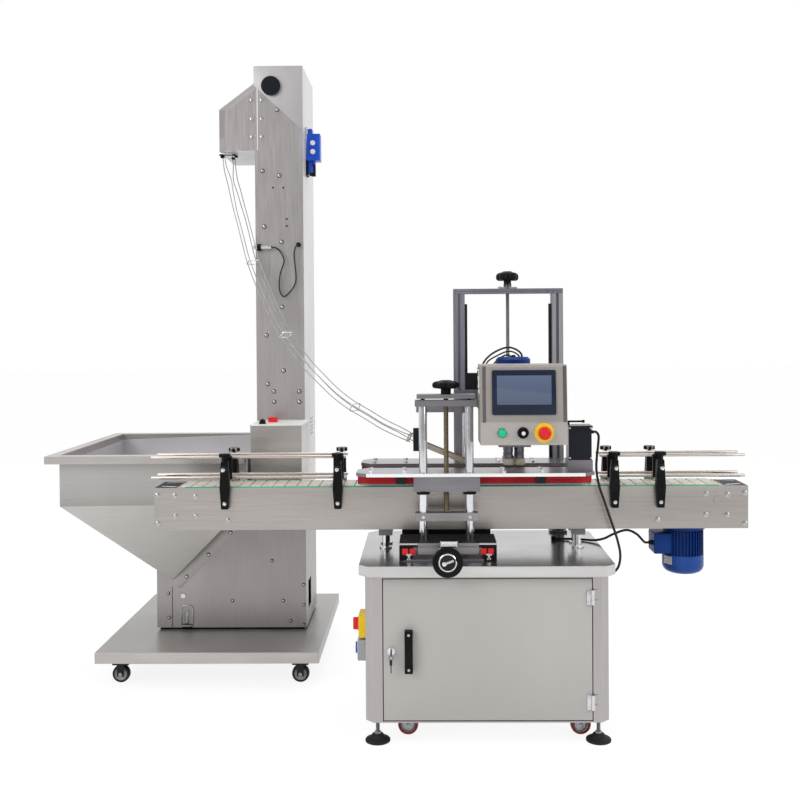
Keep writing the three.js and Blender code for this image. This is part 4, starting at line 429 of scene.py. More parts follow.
def smooth_way(points, per_span=8):
    """Smooth line through the points: centripetal spline, where each span is a cubic whose slopes come from
    the neighbouring points over the square root of their distances."""
    p = np.asarray(points, float)
    p = np.concatenate([[2 * p[0] - p[1]], p, [2 * p[-1] - p[-2]]])
    p0, p1, p2, p3 = p[:-3], p[1:-2], p[2:-1], p[3:]
    d01 = np.linalg.norm(p1 - p0, axis=1)[:, None] ** 0.5
    d12 = np.linalg.norm(p2 - p1, axis=1)[:, None] ** 0.5
    d23 = np.linalg.norm(p3 - p2, axis=1)[:, None] ** 0.5
    m1 = (p1 - p0) / d01 - (p2 - p0) / (d01 + d12) + (p2 - p1) / d12
    m2 = (p2 - p1) / d12 - (p3 - p1) / (d12 + d23) + (p3 - p2) / d23
    m1, m2 = m1 * d12, m2 * d12
    t = (np.arange(per_span) / per_span)[None, :, None]
    a, b = (2 * p1 - 2 * p2 + m1 + m2)[:, None], (-3 * p1 + 3 * p2 - 2 * m1 - m2)[:, None]
    curve = a * t ** 3 + b * t ** 2 + m1[:, None] * t + p1[:, None]
    return np.concatenate([curve.reshape(-1, 3), p2[-1:]])


def across_way(path, up=Z):
    """Directions at every point of a path: along it, across it, which is along x up, and square to both,
    which is as near to up as it can be."""
    along = np.gradient(path, axis=0)
    along /= np.linalg.norm(along, axis=1)[:, None]
    across = np.cross(along, np.asarray(up, float))
    across /= np.maximum(np.linalg.norm(across, axis=1), 1e-9)[:, None]
    return along, across, np.cross(across, along)


def wire(radius, path, sides=10, up=Z):
    """Round section carried along a path. A point is path + radius * (cos a * across + sin a * lift)."""
    path = np.asarray(path, float)
    _, across, lift = across_way(path, up)
    a = np.arange(sides) * 2 * np.pi / sides
    ring = radius * (np.cos(a)[:, None] * across[:, None] + np.sin(a)[:, None] * lift[:, None])
    return (path[:, None] + ring).reshape(-1, 3), tube_faces(len(path), sides)


def moved_faces(faces, count, copies):
    """The faces of so many copies of a form with count points."""
    return [[i + k * count for i in face] for k in range(copies) for face in faces]


def repeated(form, shifts):
    """The same form at several places: every shift is added to all its points."""
    points, faces = form
    shifts = np.asarray(shifts, float).reshape(-1, 1, 3)
    return (points[None] + shifts).reshape(-1, 3), moved_faces(faces, len(points), len(shifts))


def turned_about(form, axis, degrees, about):
    """The form turned about a line through a point: parts of u and v, which stand across the line, become
    u * cos - v * sin and u * sin + v * cos."""
    points, faces = form
    u, v, w = frame_of(axis)
    about = np.asarray(about, float)
    rel = points - about
    cos, sin = math.cos(math.radians(degrees)), math.sin(math.radians(degrees))
    on_u, on_v = rel @ u, rel @ v
    new_u, new_v = on_u * cos - on_v * sin, on_u * sin + on_v * cos
    return about + (rel @ w)[:, None] * w + new_u[:, None] * u + new_v[:, None] * v, faces


def mirrored(form):
    """The form on the other side of the conveyor's centre line, with its faces turned round."""
    points, faces = form
    return points * np.array([1.0, -1.0, 1.0]), [face[::-1] for face in faces]


# Pieces


def shaded(mesh, angle):
    """Smooth shading, except over edges that turn by more than the angle."""
    mesh.polygons.foreach_set("use_smooth", np.ones(len(mesh.polygons), bool))
    mesh.set_sharp_from_angle(angle=angle)


def piece(name, forms, material, body="machine", replaces=None, angle=38):
    """One object from one or more forms: joined, doubles merged, faces turned outwards. It rides on a body,
    unless the body is None, and stands for the node that it replaces."""
    forms = forms if isinstance(forms, list) else [forms]
    starts = np.cumsum([0] + [len(points) for points, _ in forms])
    points = metres(np.concatenate([points for points, _ in forms]))
    faces = [[i + int(start) for i in face] for start, (_, fs) in zip(starts, forms) for face in fs]
    mesh = bpy.data.meshes.new(name)
    mesh.from_pydata(points, [], faces)
    work = bmesh.new()
    work.from_mesh(mesh)
    bmesh.ops.remove_doubles(work, verts=work.verts, dist=SAME_POINT)
    bmesh.ops.recalc_face_normals(work, faces=work.faces)
    work.to_mesh(mesh)
    work.free()
    shaded(mesh, math.radians(angle))
    mesh.materials.append(material)
    obj = new_object(name, mesh)
    if body:
        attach(obj, body)
    if replaces:
        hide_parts(replaces)
    return obj


def within(points, region):
    """Which of the points lie between a region's bounds."""
    inside = np.ones(len(points), bool)
    for i, key in enumerate("xyz"):
        low, high = region.get(key, (-np.inf, np.inf))
        inside &= (points[:, i] >= low) & (points[:, i] <= high)
    return inside


def dressed(node, base, regions=(), edge=0.8, drop=()):
    """Copy of a node's solid with its flat faces joined and fine round edges. A region gives the faces whose
    middle lies between its bounds another finish, and with facing only those that look that way. Faces in a
    drop region are left out, because a smoother form stands in their place. Edges that turn by more than the
    sharpest angle are rounded, as wide as edge says. Faces that turn by less than the flattest are joined."""
    sharpest, flattest = math.radians(40), math.radians(0.4)
    mesh = bpy.data.meshes.new(node + "_dress")
    work = bmesh.new()
    work.from_mesh(frame["nodes"][node].data)
    bmesh.ops.remove_doubles(work, verts=work.verts, dist=2 * SAME_POINT)
    work.faces.ensure_lookup_table()
    places = np.array([face.calc_center_median() for face in work.faces]) * 1000 - DRAWING_ORIGIN
    gone = np.zeros(len(places), bool)
    for region in drop:
        gone |= within(places, region)
    bmesh.ops.delete(work, geom=[work.faces[i] for i in np.flatnonzero(gone)], context="FACES")
    work.to_mesh(mesh)
    work.free()
    count = len(mesh.polygons)
    places, normals = np.zeros(count * 3), np.zeros(count * 3)
    mesh.polygons.foreach_get("center", places)
    mesh.polygons.foreach_get("normal", normals)
    places = places.reshape(-1, 3) * 1000 - DRAWING_ORIGIN
    normals = normals.reshape(-1, 3)
    chosen = np.zeros(count, np.int32)
    mesh.materials.append(base)
    for k, region in enumerate(regions):
        inside = within(places, region)
        if "facing" in region:
            inside &= normals @ np.array(region["facing"], float) > 0.9
        chosen[inside] = k + 1
        mesh.materials.append(region["finish"])
    mesh.polygons.foreach_set("material_index", chosen)
    work = bmesh.new()
    work.from_mesh(mesh)
    bmesh.ops.dissolve_limit(work, angle_limit=flattest, verts=work.verts, edges=work.edges,
                             delimit={"MATERIAL"})
    work.to_mesh(mesh)
    work.free()
    shaded(mesh, sharpest)
    obj = new_object(node + "_dress", mesh)
    bevel = obj.modifiers.new("edges", "BEVEL")
    bevel.width = edge / 1000
    bevel.segments = 2
    bevel.limit_method = "ANGLE"
    bevel.angle_limit = sharpest
    bevel.use_clamp_overlap = False
    bevel.mark_sharp = False
    weights = obj.modifiers.new("flat_faces", "WEIGHTED_NORMAL")
    weights.weight = 100
    weights.keep_sharp = False
    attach(obj, body_of[node])
    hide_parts(node)
    return obj


def finished(node, material):
    """A node that keeps its own solid and gets a finish."""
    mesh = frame["nodes"][node].data
    mesh.materials.clear()
    mesh.materials.append(material)


def button_head(x, y, z, along, radius, rise):
    """Socket screw with a domed head and a round recess, standing on a face."""
    dome = [(0, 0), (radius, 0), (radius, rise * 0.35), (radius * 0.86, rise * 0.8), (radius * 0.55, rise),
            (radius * 0.42, rise), (radius * 0.42, rise * 0.45), (0, rise * 0.45)]
    return turned(dome, (x, y, z), along, 18)


def hex_nut(x, y, z, along, radius, height):
    """Six-sided nut with turned-down corners."""
    outline = [(0, 0), (radius, 0), (radius, height * 0.85), (radius * 0.88, height), (0, height)]
    return turned(outline, (x, y, z), along, 6)


def washer(x, y, z, along, radius, sides):
    """Flat washer, 1 mm thick, with a bevelled edge."""
    return turned([(0, 0), (radius, 0), (radius, 0.7), (radius - 0.4, 1), (0, 1)], (x, y, z), along, sides)


# Camera, fitted to the edges of the machine in the picture

# The focal length and the optical centre are in the picture's pixels, the sensor's width and the eye in
# millimetres, and the turns in degrees
photo_side, sensor_width = 800, 36
focal, optic_x, optic_y = 1004.7, 414.6, 342.4
eye = np.array([21.3, -3321.8, 1267.4])
yaw, pitch, roll = (math.radians(a) for a in (0.825, 0.662, -0.385))
gaze = np.array([-math.sin(yaw) * math.cos(pitch), math.cos(yaw) * math.cos(pitch), -math.sin(pitch)])
level = np.array([math.cos(yaw), math.sin(yaw), 0.0])
lift = np.cross(level, gaze)
rightward = level * math.cos(roll) + lift * math.sin(roll)
upward = lift * math.cos(roll) - level * math.sin(roll)

camera = new_object("camera", bpy.data.cameras.new("camera"))
camera.data.sensor_width = sensor_width
camera.data.lens = focal * sensor_width / photo_side
camera.data.shift_x = (photo_side / 2 - optic_x) / photo_side
camera.data.shift_y = (optic_y - photo_side / 2) / photo_side
camera.data.clip_end = 100
camera.location = metres(eye)
camera.rotation_mode = "QUATERNION"
camera.rotation_quaternion = Matrix(np.column_stack([rightward, upward, -gaze]).tolist()).to_quaternion()
scene.camera = camera


def seen(px, py, y):
    """Place in the drawing, at a depth, of something measured in the picture: the camera's ray through that
    place of the picture is followed to the depth."""
    ray = gaze + rightward * (px - optic_x) / focal - upward * (py - optic_y) / focal
    x, _, z = eye + ray * (y - eye[1]) / ray[1]
    return x, z


def seen_between(places, y, first_x, last_x):
    """Places in the drawing, at a depth, of things measured in the picture. One that would lie past the first
    or the last x lies on it."""
    found = [seen(px, py, y) for px, py in places]
    return [(min(max(x, first_x), last_x), z) for x, z in found]


# Cords, each along the same route as in the drawing


def free_cord(name, route, radius):
    """Round cord that keeps its shape, along a smooth way through its route."""
    path = metres(smooth_way(route, 6))
    data = bpy.data.curves.new(name, "CURVE")
    data.dimensions = "3D"
    line = data.splines.new("POLY")
    line.points.add(len(path) - 1)
    line.points.foreach_set("co", np.column_stack([path, np.ones(len(path))]).ravel())
    data.bevel_depth = radius / 1000
    data.bevel_resolution = 4
    data.use_fill_caps = True
    data.materials.append(cord_rubber)
    obj = new_object(name + "_lead", data)
    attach(obj, "machine")
    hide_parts(name)


sensor_route = [
    (-572.7, 476, 1587), (-562, 476, 1587), (-546, 475, 1578), (-533, 474, 1560), (-525, 473, 1535),
    (-541, 472, 1480), (-541, 471, 1420), (-527, 470, 1400), (-499, 470, 1422), (-481, 470, 1456),
    (-483, 470, 1520), (-486, 469, 1560), (-480, 468, 1586), (-472, 474, 1597), (-472, 481.7, 1597),
]
conveyor_route = [
    (736.7, -20, 567.7), (726, -20, 568), (700, -16, 594), (670, -8, 606), (628, 8, 590), (600, 24, 572),
    (572, 40, 563), (540, 60, 560.6), (500, 72, 560.6), (460, 76, 560.6), (446.3, 76, 560.6),
]
gripper_route = [
    (546.3, -100, 940), (553, -100, 940), (561, -101, 931), (560, -104, 900), (555, -107, 860),
    (553, -110, 821), (560, -114, 772), (575, -118, 725), (600, -120, 650), (617, -120, 597),
    (626, -120, 549), (620, -120, 512), (606, -120, 495), (592, -120, 492), (580.3, -120, 492),
]
free_cord("sensor_cord", sensor_route, 2.6)
free_cord("conveyor_motor_cord", conveyor_route, 4.0)

# The gripper's cord bends between the sliding plate and the gripper that the plate's posts carry
gripper_way = smooth_way(gripper_route, 6)
cord_radius = 4.0
gripper_cord = piece("gripper_motor_cord_lead", wire(cord_radius, gripper_way, 18, Y), cord_rubber,
                     None, "gripper_motor_cord", angle=60)
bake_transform(gripper_cord)

# Cabinet

dressed("cabinet_body", steel_upright, [
    dict(finish=zinc, z=(0, 72.5)),
    dict(finish=signal_yellow, x=(-203, -180.5), z=(317, 390)),
    dict(finish=grey_plastic, x=(-206.5, -180.5), z=(246, 311)),
    dict(finish=valve_blue, x=(-215, -206.2), z=(246, 311)),
    dict(finish=black_plastic, x=(565.5, 582), z=(480, 504)),
])
# The worktop is pale steel as painted highlight on its band and edges, with its top darker as painted
# reflection
dressed("worktop", steel_band_painted_highlight, [
    dict(finish=steel_top_painted_reflection, z=(555, 557), facing=(0, 0, 1)),
    dict(finish=black_plastic, z=(557.5, 572)),
], edge=2.2)

door_back, door_front = -259, -275
piece("door_panel", slab(rectangle(-124, 511, 80, 512, 2), door_front, door_back, "y", 1.4), cabinet_paint,
      "door", "cabinet_door", angle=30)
piece("door_handle_bar", [
    block(-59, -34, -298, -289.2, 229.5, 358.5, 1.6, 3),
    *[block(-59, -34, -290, door_front - 0.2, z0, z1, 1, 3) for z0, z1 in ((229.5, 251), (337, 358.5))],
], black_plastic, "door")
piece("door_handle_screws", [button_head(-46.5, -298, z, -Y, 4.2, 1.0) for z in (241, 347)], screw_steel,
      "door")

hinge_x, hinge_y = 512.25, -281.3
hinge_heights = (136, 456)
# Half of a hinge's barrel as (radius, height above its middle), from the slot in its middle to its end
half_barrel = [(5.2, 7.9), (6, 8.2), (6, 22.4), (5.4, 23), (3.4, 23)]
hinges = []
for z in hinge_heights:
    lower = [(radius, z - height) for radius, height in half_barrel[::-1]]
    upper = [(radius, z + height) for radius, height in half_barrel]
    hinges.append(ring_of(lower + upper, (hinge_x, hinge_y, 0), Z, 28))
hinges += [block(494.5, 511, -277.6, -275.1, z - 23, z + 23, 0.4, 1) for z in hinge_heights]
hinges += [button_head(499, -277.6, z + dz, -Y, 3, 1.2) for z in hinge_heights for dz in (-15, 15)]
piece("door_hinge_barrels", hinges, steel_bright, "door")

lock_x, lock_z = -100, 292
piece("door_lock_barrel", [
    bar(9, (lock_x, -275.3, lock_z), (lock_x, -254, lock_z), 0.5),
    turned(rounded_profile(12, 0, 4, 1.2), (lock_x, -275.3, lock_z), -Y, 32),
    turned([(0, 0), (7.5, 0), (7.5, 3), (6.6, 4.2), (0, 4.2)], (lock_x, -279, lock_z), -Y, 24),
    slab(rectangle(-108, -92, 248, 300, 3), -254, -251.1, "y", 0.4),
], chrome, "lock", "door_lock")
piece("door_lock_key", [
    slab(rectangle(-101.1, -98.9, 286.5, 297.5, 0.8), -290, -282, "y", 0.4),
    slab(rectangle(-101.9, -98.1, 282.5, 301.5, 1.6), -296.8, -289.5, "y", 1.2),
], black_plastic, "lock")
ring_way = [(lock_x + 7 * math.sin(a), -294.5, 277.5 - 6.5 * math.cos(a))
            for a in np.linspace(0, 2 * math.pi, 25)]
piece("door_key_ring", [
    wire(0.8, ring_way, 8, Y),
    slab(rectangle(-104.5, -96.5, 254, 272, 3), -296, -292.5, "y", 1),
    slab(rectangle(-101.6, -98.6, 231, 256, 1), -295, -293.4, "y", 0.3),
], black_steel, "lock")

switch_z, switch_y = 353.5, -190
piece("power_switch_plate", [
    slab(rectangle(switch_y - 32, switch_y + 32, 321, 386, 5), -203.2, -201.8, "x", 0.5),
], signal_yellow)
switch_rim = [(0, 0), (22, 0), (22, 3), (20, 5.4), (18, 6), (0, 6)]
piece("power_switch_knob", [
    turned(switch_rim, (-202.3, switch_y, switch_z), -X, 40, 14, 0.06),
    slab(rectangle(switch_y - 5, switch_y + 5, switch_z - 19, switch_z + 19, 3), -222, -207, "x", 2),
], signal_red, "power_switch", "main_switch")
inlet_cap = [(0, 0), (18, 0), (18, 5), (16, 7.6), (13, 8), (12, 5), (0, 5)]
piece("power_inlet_cap", turned(inlet_cap, (-206.2, switch_y, 278.5), -X, 36), valve_blue)
piece("power_inlet_rim", [
    slab(rectangle(switch_y - 31, switch_y + 31, 250, 307, 5), -207.4, -206, "x", 0.5),
], white_plastic)

foot_pad = [(0, 0), (36.5, 0), (38.6, 1.2), (39, 3.5), (38.6, 6.5), (36, 9), (31, 10.2), (24, 14), (19, 20),
            (17, 23), (15.5, 24), (0, 24)]
for row, y in (("front", -230), ("rear", 180)):
    for side, x in (("left", -145), ("right", 536)):
        foot = f"foot_{row}_{side}"
        piece(foot + "_pad", turned(foot_pad, (x, y, 0), Z, 44), rubber_black, "machine", foot)
        piece(foot + "_stud", bar(6, (x, y, 22), (x, y, 72.7), 0.4, 24), steel_thread)
        nuts = [hex_nut(x, y, 63.7, Z, 12, 9), hex_nut(x, y, 24, Z, 11, 7)]
        piece(foot + "_nuts", nuts, zinc)


def both_ways(half_profile):
    """Profile of (radius, height) pairs from its lower end to its middle, and from there mirrored upwards."""
    return half_profile + [(radius, -height) for radius, height in half_profile[::-1] if height]


def caster(name, body, middle, radius, tread, hub):
    """Wheel with a crowned tread on a dished hub, turned about its axle, and a nut at each end of it."""
    x, y, z = middle
    half = 12
    rim = radius * 0.72
    tyre = both_ways([(rim, -half), (radius - 3, -half), (radius - 0.6, -half + 3.5), (radius, 0)])
    piece(name + "_tread", ring_of(tyre, middle, Y, 44), tread, body, name)
    disc = both_ways([(4.3, -half + 0.5), (9, -half + 0.5), (10, -half + 3), (rim - 4, -half + 5),
                      (rim + 0.1, -half + 1.2)])
    piece(name + "_hub", ring_of(disc, middle, Y, 36), hub, body)
    nuts = [hex_nut(x, y + sign * (half + 3.8), z, sign * Y, 7, 3.4) for _, sign in ROWS]
    piece(name + "_nuts", nuts, zinc)


for row, y in (("front", -185), ("rear", 135)):
    for side, x in (("left", -52), ("right", 487)):
        caster(f"cabinet_wheel_{row}_{side}", f"caster_{row}_{side}", (x, y, 36), 32, wheel_red, zinc)

# Conveyor

bracket_xs = (-643, -277, 616, 763)
black_brackets = [dict(finish=black_plastic, x=(x - 20, x + 20), y=span, z=(690, 880))
                  for x in bracket_xs for span in ((-100, -70.2), (70.2, 100))]
dressed("conveyor_frame", steel_along, [
    dict(finish=strip_green, z=(761.2, 765), y=(-71, 71), x=(-778, 949)),
    dict(finish=black_plastic, x=(-876.9, -820), y=(-66.1, 66.1), z=(756, 762)),
    dict(finish=black_plastic, x=(995, 1047.9), y=(-66.1, 66.1), z=(756, 762)),
    dict(finish=plate_grey, z=(599, 622.9)),
    dict(finish=chrome, z=(561.5, 599)),
    dict(finish=steel_bright, z=(555, 561.5)),
    *black_brackets,
], edge=0.4)

# Places of the bolts in the picture, on the front face of the conveyor's side plates at each end
frame_face = 70
bolts_left = [(157.5, 495.5), (174.9, 496.3), (195.5, 496.5), (158, 524), (175.5, 516.5), (196, 516.5),
              (228, 520.5)]
bolts_right = [(706, 494), (727.5, 494.5), (745, 493), (705.5, 515), (727, 515), (745, 523.5), (657.7, 519.7)]
bolt_places = seen_between(bolts_left + bolts_right, -frame_face, -866, 1037)
bolt_feet = [(x, sign * frame_face, z, sign * Y) for x, z in bolt_places for _, sign in ROWS]
piece("conveyor_bolts", [button_head(*foot, 7.2, 5) for foot in bolt_feet], bolt_steel)
piece("conveyor_washers", [washer(*foot, 9.4, 24) for foot in bolt_feet], screw_steel)

rail_knob = [(0, 862), (17.6, 862), (19.6, 863.5), (19.6, 871), (17.5, 873.6), (9, 873.9), (0, 873.9)]
rail_screw = [(0, 0), (6, 0), (6, 0.7), (4.5, 1.3), (0, 1.3)]
rail_bush = [(6.6, 0), (11, 0), (11, 2.2), (9.5, 3), (6.6, 3)]
bracket_middle, bracket_face = 81, 92
for k, x in enumerate(bracket_xs):
    for row, sign in ROWS:
        knob = turned(rail_knob, (x, sign * bracket_middle, 0), Z, sides=72, lobes=6, dip=0.3)
        piece(f"rail_knob_{row}_{k}", knob, black_plastic)
        screw = turned(rail_screw, (x, sign * bracket_face, 712), sign * Y, 24)
        piece(f"rail_screw_{row}_{k}", screw, steel_bright)
        bush = ring_of(rail_bush, (x, sign * (bracket_face - 0.5), 824), sign * Y, 28)
        piece(f"rail_bush_{row}_{k}", bush, black_steel)


def chain_place(share, radius):
    """Point and direction of the closed loop at a share of its length: straight above, half circle, straight
    below, half circle."""
    left, right, middle = -777.0, 948.0, 716.0
    straight, bend = right - left, math.pi * radius
    s = (share % 1.0) * 2 * (straight + bend)
    right_turn = np.clip((s - straight) / radius, 0, math.pi)
    left_turn = np.clip((s - 2 * straight - bend) / radius, 0, math.pi)
    turn = right_turn + left_turn
    x = left + np.clip(s, 0, straight) - np.clip(s - straight - bend, 0, straight)
    return np.stack([x + radius * np.sin(turn), middle + radius * np.cos(turn)], -1), turn


slat_count, chain_radius = 98, 45.0
link, link_faces = slab(rectangle(-16.8, 16.8, -59.6, 59.6, 2.5), -3.9, 3.9, "z", 1.4)
finger = slab(rectangle(-18.6, 18.6, -7, 7, 3), -3.2, 3.2, "z", 1.4)
fingers, finger_faces = repeated(finger, [(0, y, 0) for y in (-42, -14, 14, 42)])
slat = np.concatenate([link, fingers])
slat_faces = link_faces + [[i + len(link) for i in face] for face in finger_faces]
centres, turns = chain_place(np.arange(slat_count) / slat_count, chain_radius)
cos, sin = np.cos(turns)[:, None], np.sin(turns)[:, None]
along, across, out = slat.T
slats = np.stack([centres[:, :1] + along * cos + out * sin,
                  np.broadcast_to(across, (slat_count, len(slat))),
                  centres[:, 1:] - along * sin + out * cos], -1)
piece("chain_slats", (slats.reshape(-1, 3), moved_faces(slat_faces, len(slat), slat_count)), chain_cream,
      "machine", "slat_chain")
finished("drive_shaft", steel_along)

for side, x0, x1, tilt in (("left", -862, -806, -14), ("right", 978, 1034, 14)):
    flat = slab(rectangle(x0, x1, -45, -38, 2), 761.1, 762.4, "z", 0.4)
    blade = turned_about(flat, Z, tilt, ((x0 + x1) / 2, -41, 761))
    piece(f"nose_blade_{side}", [blade, mirrored(blade)], steel_bright)

motor_x = 854
motor_cowl = [(0, 467), (38, 467), (45, 468.5), (56, 473), (63, 480), (66.6, 489), (67, 494), (67, 528),
              (65.5, 529.4), (0, 529.4)]
motor_barrel = [(0, 529), (61, 529), (59.5, 532), (59.5, 612), (66, 612.7), (71, 613.4), (72, 615),
                (72, 621.5), (71, 622.7), (0, 622.7)]
fin = block(motor_x + 58, motor_x + 66.4, -1.3, 1.3, 527, 612, 0.6)
fin_turns = [a for a in np.arange(0, 360, 9.0) if not 150 < a < 210]
# The cowl is the lighter blue, painted light
piece("conveyor_motor_cowl", turned(motor_cowl, (motor_x, 0, 0), Z, 64), cowl_blue_painted_light)
piece("conveyor_motor_body", [
    turned(motor_barrel, (motor_x, 0, 0), Z, 64),
    *[turned_about(fin, Z, a, (motor_x, 0, 0)) for a in fin_turns],
    block(751, 824, -45, 45, 534.7, 600.7, 3, 5),
    block(809, 899, -40, 40, 621.7, 656.7, 2, 3),
], motor_blue, "machine", "conveyor_motor")
piece("conveyor_motor_fittings", [
    block(751.2, 756, -41, 41, 538.5, 597, 1.2, 2),
    *[button_head(751.2, y, z, -X, 3, 1.4) for y in (-36, 36) for z in (543, 592)],
    *[button_head(motor_x + 52 * math.cos(a), 52 * math.sin(a), 622, -Z, 4, 0.1) for a in (0.8, 2.3)],
], grey_plastic)
piece("conveyor_motor_gland", [
    hex_nut(751, -20, 567.7, -X, 9, 5),
    turned([(0, 0), (7.4, 0), (7.4, 6), (5.2, 9), (0, 9)], (746, -20, 567.7), -X, 24),
], black_plastic)
plate_turns = np.radians(np.linspace(-164, -134, 7))
outer_bow = 67.8 * np.stack([np.cos(plate_turns), np.sin(plate_turns)], -1)
inner_bow = 66.6 * np.stack([np.cos(plate_turns), np.sin(plate_turns)], -1)
bow = np.concatenate([outer_bow, inner_bow[::-1]]) + (motor_x, 0)
piece("conveyor_motor_plate", slab(bow, 500, 526, "z", 0.2), steel_bright)

rail_depth, rail_radius, rod_heights, pin_end = 38, 5, (857, 790), 118
for side, start, end in (("left", -894, -253), ("right", 575, 1047)):
    for row, sign in ROWS:
        rail = f"guide_rail_{row}_{side}"
        body = f"rail_{row}_{side}"
        y = sign * rail_depth
        rods = [bar(rail_radius, (start, y, z), (end, y, z), 1.2, 24) for z in rod_heights]
        piece(rail + "_rods", rods, rod_steel, body, rail)
        xs = [x for x in bracket_xs if start < x < end]
        near, far = sorted((y + sign * 2.5, y + sign * 14.5))
        clamps = [block(x - 17, x + 17, near, far, 785.5, 861.5, 1.2, 3) for x in xs]
        piece(rail + "_clamps", clamps, black_plastic, body)
        pins = [bar(6, (x, y + sign * 8, 824), (x, sign * pin_end, 824), 1.2, 28) for x in xs]
        piece(rail + "_pins", pins, chrome, body)

# Bottle grippers


def depths(sign, near, far):
    """Bounds in y between two distances from the conveyor's middle, in front of it (-1) or behind it (1)."""
    return tuple(sorted((sign * near, sign * far)))


post_spans = ((-14, 14), (132, 160))
rear_post_heights = ((597.2, 670.8), (696.2, 753.8), (822.5, 984.8))
row_regions = {
    "front": [
        dict(finish=plate_grey, x=(458, 540), z=(821.2, 854.5)),
        dict(finish=black_gloss, x=(458, 547), z=(854.5, 965)),
    ],
    "rear": [
        dict(finish=black_steel, z=(555, 596.9), y=(85, 190)),
    ],
}
row_drops = {
    "front": [],
    "rear": [dict(y=(151, 179), z=heights, x=span) for heights in rear_post_heights for span in post_spans],
}
for row, sign in ROWS:
    dressed(f"{row}_gripper", plate_grey, [
        dict(finish=black_steel, y=depths(sign, 145.2, 154), z=(782, 810.5), x=(-87, -53)),
        dict(finish=black_steel, y=depths(sign, 145.2, 154), z=(782, 810.5), x=(354, 388)),
        dict(finish=black_plastic, z=(753, 763.1), y=depths(sign, 140, 190)),
        dict(finish=steel_bright, z=(821.2, 827), x=(-200, 420)),
        *row_regions[row],
        # The plate's front edge takes the near-white steel as a painted highlight
        dict(finish=steel_painted_highlight, y=depths(sign, 189.5, 191), z=(810.2, 820.8), facing=(0, sign, 0)),
        dict(finish=plate_top, z=(820, 821.1), facing=(0, 0, 1)),
    ], edge=0.6, drop=row_drops[row])


def belt_loop(sign, name, body):
    """Flat belt round two pulleys: its section stands at every point of two half circles about the pulleys,
    and the last section joins the first. The section has a groove along the belt's outside."""
    left, right, depth, radius = -164.0, 492.0, 98, 44.5
    t = np.linspace(-np.pi / 2, np.pi / 2, 56)
    outward = np.stack([np.cos(t), np.sin(t)], -1)
    path = np.concatenate([(right, 0) + radius * outward, (left, 0) - radius * outward])
    normal = np.concatenate([outward, -outward])
    section = np.array([(-2.4, 784), (1.7, 783.2), (2.5, 784.2), (2.5, 794), (2.1, 795), (2.5, 796),
                        (2.5, 805.8), (1.7, 806.8), (-2.4, 806)])
    rows, columns = len(path), len(section)
    flat = path[:, None] + normal[:, None] * section[None, :, :1] + (0, sign * depth)
    heights = np.broadcast_to(section[None, :, 1:], (rows, columns, 1))
    points = np.concatenate([flat, heights], -1)
    first = np.arange(rows)[:, None] * columns + np.arange(columns)[None]
    after = np.roll(first, -1, 0)
    faces = np.stack([first, after, np.roll(after, -1, 1), np.roll(first, -1, 1)], -1).reshape(-1, 4).tolist()
    piece(name + "_band", (points.reshape(-1, 3), faces), belt_red, body, name)


belt_loop(-1, "front_belt", "gripper")
belt_loop(1, "rear_belt", "machine")

piece("gripper_motor_screws", [
    button_head(x, -135, z, -Y, 3.4, 2) for x in (465.5, 531.5) for z in (861, 956)
], bolt_steel, "gripper")
piece("gripper_motor_lever", [
    bar(3.2, (465, -100, 974), (512, -100, 974), 1.2, 20),
    bar(3.2, (466.5, -100, 962.6), (466.5, -100, 976.5), 1.2, 20),
    turned(rounded_profile(5, 0, 9, 2.4), (509, -100, 974), X, 24),
], black_gloss, "gripper")

dressed("slide_base", black_plate, [
    dict(finish=plate_grey, y=(-230.5, -229), x=(38, 108)),
    dict(finish=plate_grey, z=(555, 561.5)),
])
front_post_heights = ((612.3, 670.8), (696.2, 1029.8))
front_drops = [dict(y=(-180, -150), z=heights, x=span)
               for heights in front_post_heights for span in post_spans]
dressed("gripper_posts", plate_grey, [
    dict(finish=black_plate, z=(600, 612.5)),
    dict(finish=black_steel, z=(1050.2, 1054.9)),
    dict(finish=plate_mid, z=(672, 695)),
    dict(finish=steel_bright, y=(-190, -182.1), z=(674, 693)),
], edge=0.6, drop=front_drops)
piece("slide_inserts", [
    block(x0, x1, -231.4, -228, 575.5, 595.5, 0.8, 1.5)
    for x0, x1 in ((-66, -47.5), (-43, -26), (177, 194.5), (199, 216))
], signal_red)
latches = []
for x in (-45.2, 201.5):
    latches += [
        block(x - 4, x + 4, -232.6, -229.8, 560, 580, 0.6, 1.5),
        slab(rectangle(x - 8.5, x + 8.5, 573, 579, 2), -232.4, -229.6, "y", 0.5),
        slab(rectangle(x - 7, x + 7, 560, 564.5, 2), -232.4, -229.6, "y", 0.5),
    ]
piece("slide_latches", latches, steel_bright)
front_outline = np.array([(-13, 577), (167, 577), (171, 584), (171, 600.2), (-17, 600.2), (-17, 584)], float)
# The front plate's grey is partly painted light, made lighter against the handwheel's shade
piece("slide_front_plate", slab(front_outline, -231.6, -230.2, "y", 0.4), plate_front)
piece("base_plate_edge", block(-17, 171, -231.2, -229.9, 601.2, 611.9, 0.3), plate_front,
      "gripper_slide")
piece("screw_bearing_cap", [
    block(48, 98, -234, -231.4, 588, 600.2, 0.8, 2),
    *[button_head(x, -234, 595, -Y, 2.8, 1.5) for x in (54, 92)],
], steel_bright)
# The cap is near-white steel, a painted highlight
piece("carriage_screw_cap", [
    block(53, 104, -234.4, -230.9, 601.6, 617, 1.2, 2),
    *[button_head(x, -234.4, 609.5, -Y, 3.4, 2) for x in (60, 97)],
], steel_painted_highlight, "gripper_slide")
